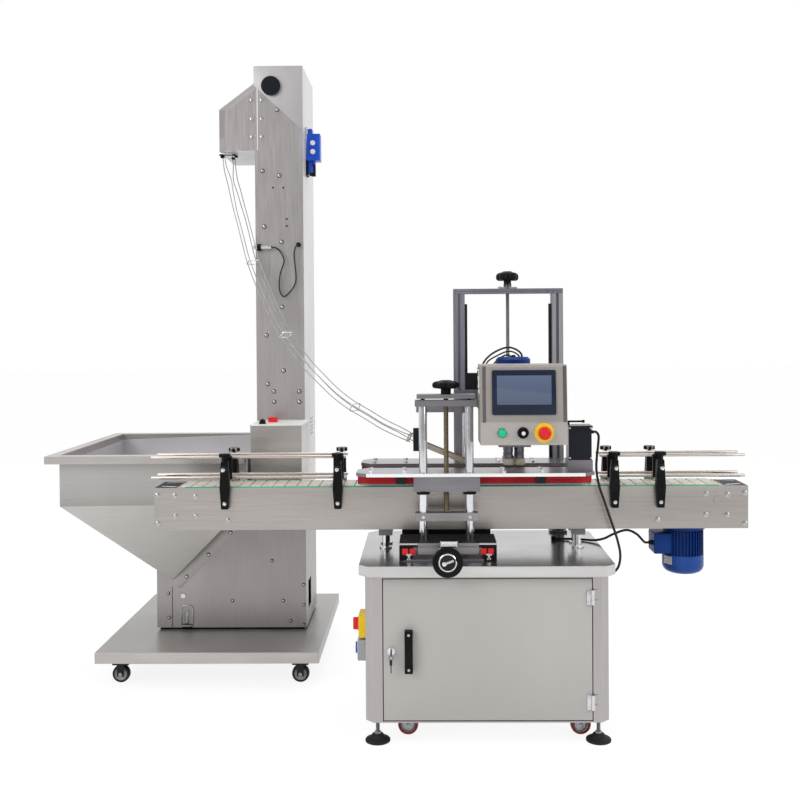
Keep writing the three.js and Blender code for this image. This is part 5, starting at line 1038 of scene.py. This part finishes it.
# The strips take the pale steel as painted highlight
piece("base_plate_strips", [
    block(x0, x1, -230.9, -229.9, 606.5, 612.1, 0.3) for x0, x1 in ((-75, -17.6), (171.6, 226))
], steel_band_painted_highlight, "gripper_slide")
piece("slide_screws", [
    button_head(x, y, 612, Z, 5, 3) for x in (-58, -20, 170, 208) for y in (-196, -122)
], black_steel, "gripper_slide")
for side, x in (("left", 0), ("right", 146)):
    piece(f"lift_post_front_{side}", bar(13, (x, -165, 611.5), (x, -165, 1030.5), 0.4, 48), chrome,
          "gripper_slide")
    piece(f"lift_post_rear_{side}", bar(13, (x, 165, 596), (x, 165, 985.5), 0.4, 48), chrome)

wheel_x, wheel_y, wheel_z = 73, -321, 573
wheel_dish = (wheel_x, wheel_y - 4, wheel_z)
wheel_back = [(0, -4.2), (12, -4.2), (31, -4.2)]
wheel_front = [(31, -9), (40, -9), (44.6, -7), (46, -2), (46, 3), (44, 7.5), (39, 9), (33, 8.6), (30.5, 5),
               (12, 4), (12, 9), (0, 9)]
piece("handwheel_rim", turned(wheel_back + wheel_front, (wheel_x, wheel_y, wheel_z), Y, 64), black_plastic,
      "width_wheel", "handwheel")
dish = [(0, -1.2), (30.8, -1.2), (30.8, 3.6), (20, 1.5), (8, 0.4), (0, 0.2)]
piece("handwheel_dish", turned(dish, wheel_dish, -Y, 56), black_steel, "width_wheel")
dish_ring = [(23, 1.4), (23.3, 3.6), (24.2, 4.6), (26.6, 4.7), (28, 3.6), (28.2, 1.4)]
piece("handwheel_ring", ring_of(dish_ring, wheel_dish, -Y, 56), chrome, "width_wheel")
fold = np.array([math.cos(math.radians(20)), 0, math.sin(math.radians(20))])
lever_middle = np.array([wheel_x, wheel_y - 3.6, wheel_z])
piece("handwheel_lever", [
    bar(4.4, lever_middle - 17 * fold, lever_middle + 19 * fold, 2.2, 24),
    turned(rounded_profile(7, 0, 4.4, 1.4), lever_middle - 11 * fold + (0, 0.6, 0), -Y, 28),
], chrome, "width_wheel")
grip = [(0, 0), (5.6, 0), (6.8, 1.6), (6.8, 3.6), (5.2, 4.6), (0, 4.6)]
piece("handwheel_grip", turned(grip, lever_middle + 30 * fold + (0, -0.6, 0), -Y, 28), black_plastic,
      "width_wheel")
piece("handwheel_hub", bar(13, (wheel_x, wheel_y + 5, wheel_z), (wheel_x, -230.4, wheel_z), 0.6, 36),
      steel_bright, "width_wheel")
piece("width_screw", bar(6, (wheel_x, wheel_y + 9, wheel_z), (wheel_x, -118, wheel_z), 0.5, 24),
      thread_across, "width_wheel")


def star_knob(name, body, node, place, low, high, radius, lobes, dip, hub_low, hub, turn=0):
    """Lobed knob with a domed top on a round hub."""
    foot = (*place, 0)
    h = high - low
    outline = [(0, low), (radius * 0.8, low), (radius * 0.96, low + h * 0.12), (radius, low + h * 0.3),
               (radius, low + h * 0.5), (radius * 0.94, low + h * 0.7), (radius * 0.76, low + h * 0.84),
               (radius * 0.46, low + h * 0.92), (radius * 0.42, high - 1), (radius * 0.34, high), (0, high)]
    piece(name, [
        turned_about(turned(outline, foot, Z, 96, lobes, dip), Z, turn, foot),
        turned([(0, hub_low), (hub, hub_low), (hub, low + 2), (0, low + 2)], foot, Z, 36),
    ], black_plastic, body, node)


star_knob("lift_knob", "height_screw", "lift_screw", (73, -165), 1086, 1111.8, radius=43, lobes=6, dip=0.26,
          hub_low=1068.3, hub=16, turn=30)
piece("lift_thread", bar(7.5, (73, -165, 696.3), (73, -165, 1087), 0.5, 28), brass,
      "height_screw")
star_knob("head_knob", "head_height_screw", "head_screw", (298, 216), 1441, 1474, radius=41, lobes=5, dip=0.3,
          hub_low=1431.3, hub=13)
piece("head_thread", bar(6, (298, 216, 985), (298, 216, 1443), 0.5, 28), steel_thread,
      "head_height_screw")

# Portal, capping head and spindles

dressed("portal_frame", extrusion, [
    dict(finish=track_steel, x=(-34.5, 152.5), y=(-20, 28)),
    dict(finish=black_steel, x=(-34, -13), y=(-29, -19.3), z=(870, 950)),
    dict(finish=plate_grey, x=(105, 131), y=(26, 196), z=(829, 1037)),
    dict(finish=black_steel, x=(146.9, 157), y=(205, 228), z=(755, 1362)),
    dict(finish=black_steel, x=(439.8, 450), y=(205, 228), z=(755, 1362)),
    dict(finish=black_steel, x=(280, 316), y=(198, 234), z=(1419.5, 1432)),
    dict(finish=steel_bright, x=(262, 334), y=(206, 226), z=(1413.2, 1419.6)),
], edge=0.4)
# The slot lips are painted highlights, lighter than the posts, the right post's paler than the left's and the
# beam's
for side, material, spans in (("left", post_blue, ((109, 122), (132, 145.5))),
                              ("right", post_pale, ((452, 465), (475, 488.5)))):
    lips = [block(x0, x1, 195.3, 196.1, 566, 1394.5, 0.3) for x0, x1 in spans]
    piece(f"portal_post_lips_{side}", lips, material)
piece("portal_beam_lip", [block(108, 489, 195.3, 196.1, z, z + 5, 0.3) for z in (1397, 1406)], post_blue)
piece("portal_corner_bolts", [
    *[button_head(x, 226, 564.3, Z, 5, 3) for x in (99.5, 154, 443, 497)],
    *[button_head(x, 216, 1419.2, Z, 4, 2.4) for x in (272, 324)],
], steel_bright)

dressed("head_carriage", motor_blue, [
    dict(finish=plate_grey, y=(44, 230), z=(1029, 1079)),
    dict(finish=plate_grey, z=(886, 1062.2)),
    dict(finish=black_steel, y=(202.5, 230), z=(1054, 1119)),
    dict(finish=black_plastic, x=(290, 306), y=(-28, -12), z=(1178, 1190)),
], edge=0.4)
head_x = 298
head_fin = block(head_x + 50, head_x + 56.7, -1.2, 1.2, 1070, 1160, 0.5)
piece("head_motor_fins", [turned_about(head_fin, Z, a, (head_x, 0, 0)) for a in np.arange(0, 360, 10.0)],
      motor_blue, "head")
lead_ways = [
    (3.2, [(317, -16, 1172), (326, -16, 1182), (317, -16, 1197), (282, -16, 1211), (228, -14, 1190),
           (200, -10, 1160), (190, 0, 1120), (206, 18, 1082), (246, 30, 1052)]),
    (2.6, [(309, -9, 1172), (318, -9, 1179), (309, -9, 1190), (284, -9, 1198), (240, -8, 1181),
           (212, -4, 1161), (203, 5, 1122), (216, 20, 1084), (250, 32, 1052)]),
    (2.6, [(292, -2, 1172), (291, -2, 1180), (278, -2, 1186), (256, 0, 1176), (236, 4, 1157), (224, 12, 1120),
           (230, 22, 1084), (254, 34, 1052)]),
]
for k, (radius, places) in enumerate(lead_ways):
    piece(f"head_lead_{k}", wire(radius, smooth_way(places), 14, Y), cord_rubber, "head")
piece("head_box_screws", [
    *[button_head(x, -58, z, -Y, 4, 2.4) for x in (256, 340) for z in (897, 1050)],
    *[button_head(x, 203, z, -Y, 5, 3) for x in (200, 396) for z in (1068, 1104)],
], steel_bright, "head")

# The wheel has four grooves in its rim
spindle_wheel = [(0, 827), (15.5, 827), (17, 828), (17.5, 829.5)]
for z in (831.5, 835.5, 839.5, 843.5):
    spindle_wheel += [(17.5, z), (16.7, z + 0.8), (16.7, z + 1.6), (17.5, z + 2.4)]
spindle_wheel += [(17.5, 846.5), (16.8, 847.6), (0, 848)]
spindle_shaft = [(0, 846.5), (14, 846.5), (14, 862), (12.5, 863), (12.5, 866), (14, 867), (14, 885.5),
                 (13, 886.7), (6, 886.7), (6, 911), (0, 911)]
spindle_foot = [(0, 824), (5, 824), (6, 825), (6, 828), (0, 828)]
for row, y in (("front", -31), ("rear", 31)):
    for side, x in (("left", 280), ("right", 316)):
        name = f"spindle_{row}_{side}"
        body = f"wheel_{row}_{side}"
        piece(name + "_wheel", turned(spindle_wheel, (x, y, 0), Z, 48), roller_amber, body,
              name)
        piece(name + "_shaft", [
            turned(spindle_shaft, (x, y, 0), Z, 40),
            turned(spindle_foot, (x, y, 0), Z, 24),
        ], spindle_steel, body)

# Operator's panel

dressed("hmi_box", taupe, [
    # The lower face takes the lighter taupe as painted highlight
    dict(finish=taupe_painted_highlight, y=(-267, -263), z=(917.5, 985.5), facing=(0, -1, 0)),
    dict(finish=steel_bright, y=(-268, -264.3), x=(225, 259), z=(935, 975)),
    dict(finish=black_plastic, y=(-268, -264.3), x=(287, 324), z=(935, 975)),
    dict(finish=signal_yellow, y=(-268, -264.3), x=(338, 402), z=(920, 990)),
    dict(finish=extrusion, y=(-119.8, 200)),
], edge=0.8)

# The panel's face is upright up to the fold. Above it the face leans back, by lean_back in lean_height
face_y, fold_z, screen_z = -264, 986, 1009
lean_back, lean_height = 14, 175
lean = math.atan2(lean_back, lean_height)
screen_y = face_y + lean_back * (screen_z - fold_z) / lean_height


def on_panel(x0, x1, z0, z1, out0, out1, corner, edge):
    """Slab drawn upright before the panel, from out0 to out1 in front of it, and leaned back with it about
    the screen's foot: y becomes y * cos a + z * sin a and z becomes z * cos a - y * sin a."""
    outline = rectangle(x0, x1, z0 - screen_z, z1 - screen_z, corner)
    points, faces = slab(outline, -out1, -out0, "y", edge)
    x, y, z = points.T
    leaned_y = screen_y + y * math.cos(lean) + z * math.sin(lean)
    leaned_z = screen_z + z * math.cos(lean) - y * math.sin(lean)
    return np.stack([x, leaned_y, leaned_z], -1), faces


piece("screen_bezel", on_panel(212, 407, screen_z + 0.2, 1145.6, 0.4, 4.6, 5, 1.2), panel_black,
      "machine", "touch_screen")
piece("screen_pane", on_panel(227, 393, 1040, 1129, 4.4, 4.95, 2, 0.2), screen_glass)
piece("panel_front_frame", [
    on_panel(x0, x1, 986.5, 1157, -0.4, 0.5, 0.5, 0.2) for x0, x1 in ((183, 193.5), (428.5, 439.5))
], panel_fold)
# The rims take the lighter taupe as painted highlight
piece("panel_front_rim", [
    on_panel(194.5, 427.5, 1155.5, 1158.5, -0.4, 0.7, 0.5, 0.2),
    on_panel(194.5, 427.5, 986.2, 988.4, -0.4, 0.9, 0.5, 0.2),
], taupe_painted_highlight)

button_z = 954.5
start_place, selector_place, stop_place = ((x, face_y, button_z) for x in (242, 305.5, 370))
start_cap = [(0, -22), (12, -22), (12, 7.6), (11.2, 8.7), (8, 9), (0, 8.6)]
start_ring = [(12.3, 0), (15, 0), (15, 2.2), (14, 3), (12.6, 3)]
piece("start_button_cap", turned(start_cap, start_place, -Y, 40), signal_green, "green_button",
      "start_button")
piece("start_button_ring", ring_of(start_ring, start_place, -Y, 40), black_steel)
selector = [(0, -22), (15, -22), (15, 9.6), (13.6, 11), (0, 11)]
piece("selector_body", [
    turned(selector, selector_place, -Y, 40),
    slab(rectangle(302.2, 308.8, button_z - 13.8, button_z + 13.8, 2.2), -283, -274.5, "y", 1.4),
], black_plastic, "selector", "selector_switch")
selector_mark = [(0, 0), (6, 0), (6, 0.7), (5.2, 1.1), (0, 1.1)]
piece("selector_mark", turned(selector_mark, (selector_place[0], -282.6, button_z), -Y, 32), white_plastic,
      "selector")
stop_head = [(0, -22), (11, -22), (11, 10.4), (15, 11), (18.4, 12), (20, 14.5), (20, 17), (19, 20.6),
             (16.4, 23), (12.5, 23.9), (0, 24)]
stop_ring = [(12, 0), (30, 0), (30, 1.8), (29, 2.4), (12, 2.4)]
piece("stop_head", turned(stop_head, stop_place, -Y, 56), signal_red, "stop_button",
      "emergency_stop")
piece("stop_ring", ring_of(stop_ring, stop_place, -Y, 56), signal_yellow)
piece("panel_side_parts", [
    block(172.8, 176, -230, -168, 1088, 1150, 0.6, 2),
    block(173.4, 176, -240, -190, 1073, 1086, 0.6, 1),
], white_plastic)
piece("panel_side_sockets", [
    turned(rounded_profile(9, 0, 5, 1), (176.5, y, z), -X, 24)
    for y, z in ((-212, 1134), (-190, 1106), (-178, 1134))
], black_plastic)

# Cap elevator

dressed("elevator_platform", steel_sheet, [
    dict(finish=black_steel, z=(0, 88.5)),
    dict(finish=steel_box, z=(88.6, 128), facing=(0, -1, 0)),
], edge=1.6)
for row, y in (("front", 298), ("rear", 950)):
    for side, x in (("left", -1103), ("right", -451)):
        caster(f"elevator_wheel_{row}_{side}", f"elevator_caster_{row}_{side}", (x, y, 31.5), 31.5,
               rubber_black, grey_plastic)
dressed("boot_housing", steel_boot, [dict(finish=black_plastic, z=(128, 138.9))], edge=0.4)
dressed("column_housing", steel_column, [
    dict(finish=steel_pale, facing=(1, 0, 0), x=(-454, -452)),
    dict(finish=black_gloss, y=(478, 493.9), z=(2155, 2240)),
    dict(finish=steel_bright, x=(-641, -572), y=(460, 490), z=(1570, 1605)),
    dict(finish=black_plastic, x=(-627, -611), y=(460, 490), z=(1570, 1605)),
    dict(finish=black_plastic, x=(-484, -460), y=(480, 493.9), z=(1585, 1610)),
], edge=0.4)
# The box's underside takes the pale steel as painted light, so that it blends with the white round it
dressed("discharge_box", steel_column, [dict(finish=steel_pale, z=(1955, 1959), facing=(0, 0, -1))], edge=0.6)
dressed("hopper", steel_sheet, [
    # The inner walls take the paler sheet as painted light
    dict(finish=steel_inside_painted_light, facing=(0, -1, 0), y=(900, 1020)),
    dict(finish=steel_inside_painted_light, facing=(1, 0, 0)),
    dict(finish=steel_inside_painted_light, facing=(0, 1, 0), y=(200, 300)),
    dict(finish=steel_box, z=(800.9, 829.1)),
    # The slopes that face down take the paler sheet as painted light
    dict(finish=steel_slope_painted_light, facing=(0, -0.815, -0.58), z=(321, 645)),
    dict(finish=steel_slope_painted_light, facing=(-0.68, 0, -0.735), z=(321, 645)),
], edge=0.8)
dressed("elevator_control_box", steel_box, [
    dict(finish=white_plastic, z=(927.9, 932.3)),
    dict(finish=signal_red, z=(932.4, 952)),
], edge=1.2)
dressed("air_valve", valve_blue, [
    dict(finish=steel_bright, x=(-452.8, -444.5)),
    dict(finish=white_plastic, y=(560, 573.9)),
    dict(finish=black_plastic, z=(1870, 1929)),
], edge=1.4)
piece("air_valve_blocks", [
    block(-444, -427, 579, 621, 2033, 2054, 1.4, 2),
    block(-444, -425, 583, 617, 1884, 1931, 1.4, 2),
    block(-424, -416, 577, 589, 1916, 1931, 1, 2),
], valve_blue)
piece("air_valve_fittings", [
    turned([(0, 0), (5, 0), (6, 2), (6, 12), (4, 14), (0, 14)], (-434, 592, 1886), -Z, 20),
    turned([(0, 0), (4, 0), (4, 9), (0, 9)], (-420, 583, 1917), -Z, 18),
], black_gloss)
finished("cap_belt", belt_dark)
finished("head_drum", steel_bright)
finished("tail_drum", steel_bright)
knob_x, knob_y = -588, 330
knob_cap = [(0, 932.3), (13, 932.3), (13, 934), (11.8, 935), (11, 945), (10, 946.3), (0, 946.3)]
piece("speed_knob_cap", [
    turned(knob_cap, (knob_x, knob_y, 0), Z, 60, 18, 0.05),
    block(knob_x - 2.4, knob_x + 2.4, knob_y - 11, knob_y + 11, 945.4, 950.2, 1),
    bar(4, (knob_x, knob_y, 917.4), (knob_x, knob_y, 934), 0.4, 20),
], black_plastic, "speed_knob", "elevator_knob")

# Sheets and bolts on the front of the column and of the boot
column_face, sheet_face = 494, 492.6
head_plate = np.array([(-638.6, 2202.6), (-454.4, 2031.4), (-454.4, 2274.4), (-638.6, 2274.4)])
piece("column_head_plate", slab(head_plate, sheet_face, 494.1, "y", 0.3), steel_head)
piece("column_seam", block(-627.5, -622.5, 492.2, 494.1, 1957, 2191, 0.5), steel_pale)
discharge_bolts = [(x, z) for x in (-646, -608) for z in (2147.5, 2075.5, 2007.5)]
piece("discharge_bolts", [button_head(x, column_face, z, -Y, 7, 4) for x, z in discharge_bolts], bolt_steel)
flange = np.array([(-934.8, 289.5), (-718, 510.2), (-640.5, 589), (-640.5, 642), (-963, 320), (-956, 300)])
flange_bolts = [(-741, 502.6), (-826, 418.4), (-911.4, 334.4)]
piece("boot_flange", slab(flange, 492.4, 494.1, "y", 0.4), steel_boot)
piece("boot_flange_bolts", [button_head(x, sheet_face, z, -Y, 6, 4.4) for x, z in flange_bolts], bolt_steel)
boot_bolts = [(-981.4, 269.8), (-979.2, 177.4), (-583.4, 394.6), (-735.6, 241.5), (-541.9, 241),
              (-463, 301.9), (-463, 225.4), (-513.5, 163.9), (-463, 149.5)]
piece("boot_bolts", [button_head(x, column_face, z, -Y, 4.4, 3.4) for x, z in boot_bolts], bolt_steel)
piece("boot_seam", block(-967.4, -965.4, 493.2, 494.1, 141, 296, 0.3), black_steel)
handle_way = [(-931, 493.6, 152), (-931, 490.4, 156), (-931, 490.4, 214), (-928, 490.4, 220.5),
              (-922, 490.4, 223), (-897, 490.4, 223), (-891, 490.4, 220.5), (-888, 490.4, 214),
              (-888, 490.4, 156), (-888, 493.6, 152)]
piece("boot_hatch_handle", wire(1.7, smooth_way(handle_way, 5), 10, Y), bolt_steel)
piece("boot_hatch_plate", [
    block(-918, -904, 492.6, 494.1, 150, 206, 0.3, 3),
    block(-930, -890, 491.8, 494.1, 140, 151, 0.5, 3),
    button_head(-911, 492.8, 160, -Y, 4, 3),
    button_head(-911, 492.8, 196, -Y, 3, 2),
], screw_steel)

# Places of the column's bolts and screws in the picture
bolts_seen = [(262.5, 170.9), (279.3, 175.6), (264.4, 226.7), (281.6, 242), (277.2, 109.7), (282.2, 307),
              (266.4, 335.4), (283.6, 370.6), (267.8, 384), (273.9, 391.4), (299.4, 391.4), (274.2, 401.8),
              (299.4, 401.8)]
screws_seen = [(272.9, 187.7), (283.3, 187.7), (286.8, 219), (286.8, 225.9)]
column_bolts = seen_between(bolts_seen, column_face, -628, -463)
column_screws = [seen(px, py, column_face) for px, py in screws_seen]
piece("column_bolts", [button_head(x, column_face, z, -Y, 6.6, 4.6) for x, z in column_bolts], bolt_steel)
piece("column_small_screws", [button_head(x, column_face, z, -Y, 3.8, 1.6) for x, z in column_screws],
      black_steel)
# Black washers under the bolts: painted shade, the dark ring round each bolt head
piece("elevator_washers", [
    *[washer(x, column_face, z, -Y, 8.6, 22) for x, z in column_bolts],
    *[washer(x, sheet_face, z, -Y, 8, 22) for x, z in flange_bolts],
    *[washer(x, column_face, z, -Y, 6.8, 22) for x, z in boot_bolts],
], black_steel)
vent = [(0, 0), (4, 0), (4, 0.6), (0, 0.6)]
vent_places = [(-453, y, z) for y in (664, 700, 736) for z in (860, 875, 890, 905, 920)]
piece("column_vents", [turned(vent, place, X, 14) for place in vent_places], black_steel)

# Wire chute: four rods on the corners of a rectangle that is carried down the way of the caps
way = smooth_way([
    (-748, 554, 1952.7), (-738, 541, 1881), (-720, 530, 1811), (-701, 513, 1742), (-680, 487, 1677),
    (-660, 463, 1610), (-640, 440, 1544), (-614, 411, 1481), (-586, 379, 1422), (-557, 346, 1363),
    (-525, 313, 1305), (-489, 283, 1249), (-448, 257, 1194), (-403, 230, 1143), (-354, 202, 1096),
    (-303, 175, 1050), (-249, 143, 1013), (-193, 105, 984), (-137, 69, 954), (-83, 24, 932), (-53, 8, 919),
    (-34.4, 4, 910),
])
along, across, rise = across_way(way)
rods = [wire(1.7, way + u * across + v * rise) for u in (-20, 20) for v in (-10, 10)]
piece("chute_rods", rods, wire_steel, "machine", "cap_chute")


def band_between(outer, inner):
    """Closed band with a four-sided section, from the outlines of its outer and its inner edges. Both are
    pairs: the outline on one side of the band and the outline on the other."""
    rows = [outer[0], outer[1], inner[1], inner[0], outer[0]]
    return np.concatenate(rows), grid_faces(len(rows), len(outer[0]))


def chute_ring(share, thick, wide):
    """Band round the rods at a share of the way: a rounded rectangle of wire standing across the way."""
    i = int(share * (len(way) - 1))
    outline = rectangle(-24.5, 24.5, -14.5, 14.5, 5, 5)
    edges = []
    for edge in (outline, inset(outline, wide)):
        middle = way[i] + edge[:, :1] * across[i] + edge[:, 1:] * rise[i]
        edges.append((middle - thick / 2 * along[i], middle + thick / 2 * along[i]))
    return band_between(*edges)


piece("chute_rings", [chute_ring(share, 3.4, 2.6) for share in (0.3, 0.523, 0.776)], steel_bright)
piece("chute_end_ring", chute_ring(0.975, 4, 4.2), track_steel)
collar_edges = []
for edge in (rectangle(-781, -715, 529, 579, 4), rectangle(-768, -728, 540, 568, 3)):
    collar_edges.append([np.column_stack([edge, np.full(len(edge), z)]) for z in (1950, 1955.6)])
piece("chute_collar", band_between(*collar_edges), steel_bright)
clamp = rounded_profile(6.5, 0, 6, 1.4)
piece("chute_clamps", [
    *[turned(clamp, (x, y, 1950), -Z, 20) for x in (-773, -722) for y in (533, 575)],
    block(-775, -763, 531, 545, 1936, 1944, 1.4, 2),
    block(-733, -721, 531, 545, 1930, 1938, 1.4, 2),
], black_plastic)

# Floor, light and background


def highest(tree, first, second):
    """The higher of two values."""
    return add_node(tree, "ShaderNodeMath", {0: first, 1: second}, operation="MAXIMUM").outputs[0]


def mixed(tree, amount, first, second, output):
    """The output shows a mixture of two shaders by an amount from 0 to 1."""
    inputs = {0: amount, 1: first.outputs[0], 2: second.outputs[0]}
    mixture = add_node(tree, "ShaderNodeMixShader", inputs).outputs[0]
    tree.links.new(mixture, tree.nodes[output].inputs["Surface"])


def picture_rays(tree):
    """1 for the rays that make the picture, which are the camera's, also mirrored or let through, else 0."""
    rays = add_node(tree, "ShaderNodeLightPath").outputs
    straight_or_mirrored = highest(tree, rays["Is Camera Ray"], rays["Is Glossy Ray"])
    return highest(tree, straight_or_mirrored, rays["Is Transmission Ray"])


floor_finish = bpy.data.materials.new("floor_pale")
floor_finish.use_nodes = True
tree = floor_finish.node_tree
paper = tree.nodes["Principled BSDF"]
paper.inputs["Base Color"].default_value = opaque((0.86, 0.86, 0.86))
paper.inputs["Roughness"].default_value = 0.9
paper.inputs["Specular IOR Level"].default_value = 0.1
glow = add_node(tree, "ShaderNodeEmission", {"Strength": 1.1})
share = {0: picture_rays(tree), 1: 0.8}
glow_share = add_node(tree, "ShaderNodeMath", share, operation="MULTIPLY").outputs[0]
mixed(tree, glow_share, paper, glow, "Material Output")

floor_half, floor_height = 30, -0.0005
corners = [(x * floor_half, y * floor_half, floor_height) for x, y in ((-1, -1), (1, -1), (1, 1), (-1, 1))]
floor_mesh = bpy.data.meshes.new("floor")
floor_mesh.from_pydata(corners, [], [[0, 1, 2, 3]])
floor_mesh.materials.append(floor_finish)
new_object("floor", floor_mesh)

# The room's even light falls on the machine. The camera sees white round it, and what shines mirrors a white
# that gets greyer towards the camera's side
world = bpy.data.worlds.new("studio")
scene.world = world
world.use_nodes = True
tree = world.node_tree
room = tree.nodes["Background"]
room.inputs["Color"].default_value = opaque((1.0, 0.99, 0.975))
room.inputs["Strength"].default_value = 0.62
directions = add_node(tree, "ShaderNodeTexCoord").outputs["Generated"]
depth = add_node(tree, "ShaderNodeSeparateXYZ", {0: directions}).outputs["Y"]
grey_to_white = {"Value": depth, "From Min": -0.9, "From Max": 0.35, "To Min": 0.42, "To Max": 1.0}
slope = add_node(tree, "ShaderNodeMapRange", grey_to_white).outputs[0]
from_camera = add_node(tree, "ShaderNodeLightPath").outputs["Is Camera Ray"]
white = {"Color": opaque((1, 1, 1)), "Strength": highest(tree, slope, from_camera)}
mixed(tree, picture_rays(tree), room, add_node(tree, "ShaderNodeBackground", white), "World Output")


def lamp(name, place, target, size, watts):
    """Square soft lamp that looks at a point."""
    data = bpy.data.lights.new(name, "AREA")
    data.size = size
    data.energy = watts
    obj = new_object(name, data)
    obj.location = place
    obj.rotation_euler = (Vector(target) - Vector(place)).to_track_quat("-Z", "Y").to_euler()


lamp("lamp_left", (-3.4, -3.6, 3.4), (0, 0, 0.9), 2.6, 95)
lamp("lamp_right", (3.8, -2.6, 2.6), (0.3, 0, 0.8), 2.2, 60)
lamp("lamp_top", (0.2, 0.2, 4.6), (0, 0, 0), 3.2, 70)

scene.view_settings.view_transform = "Standard"
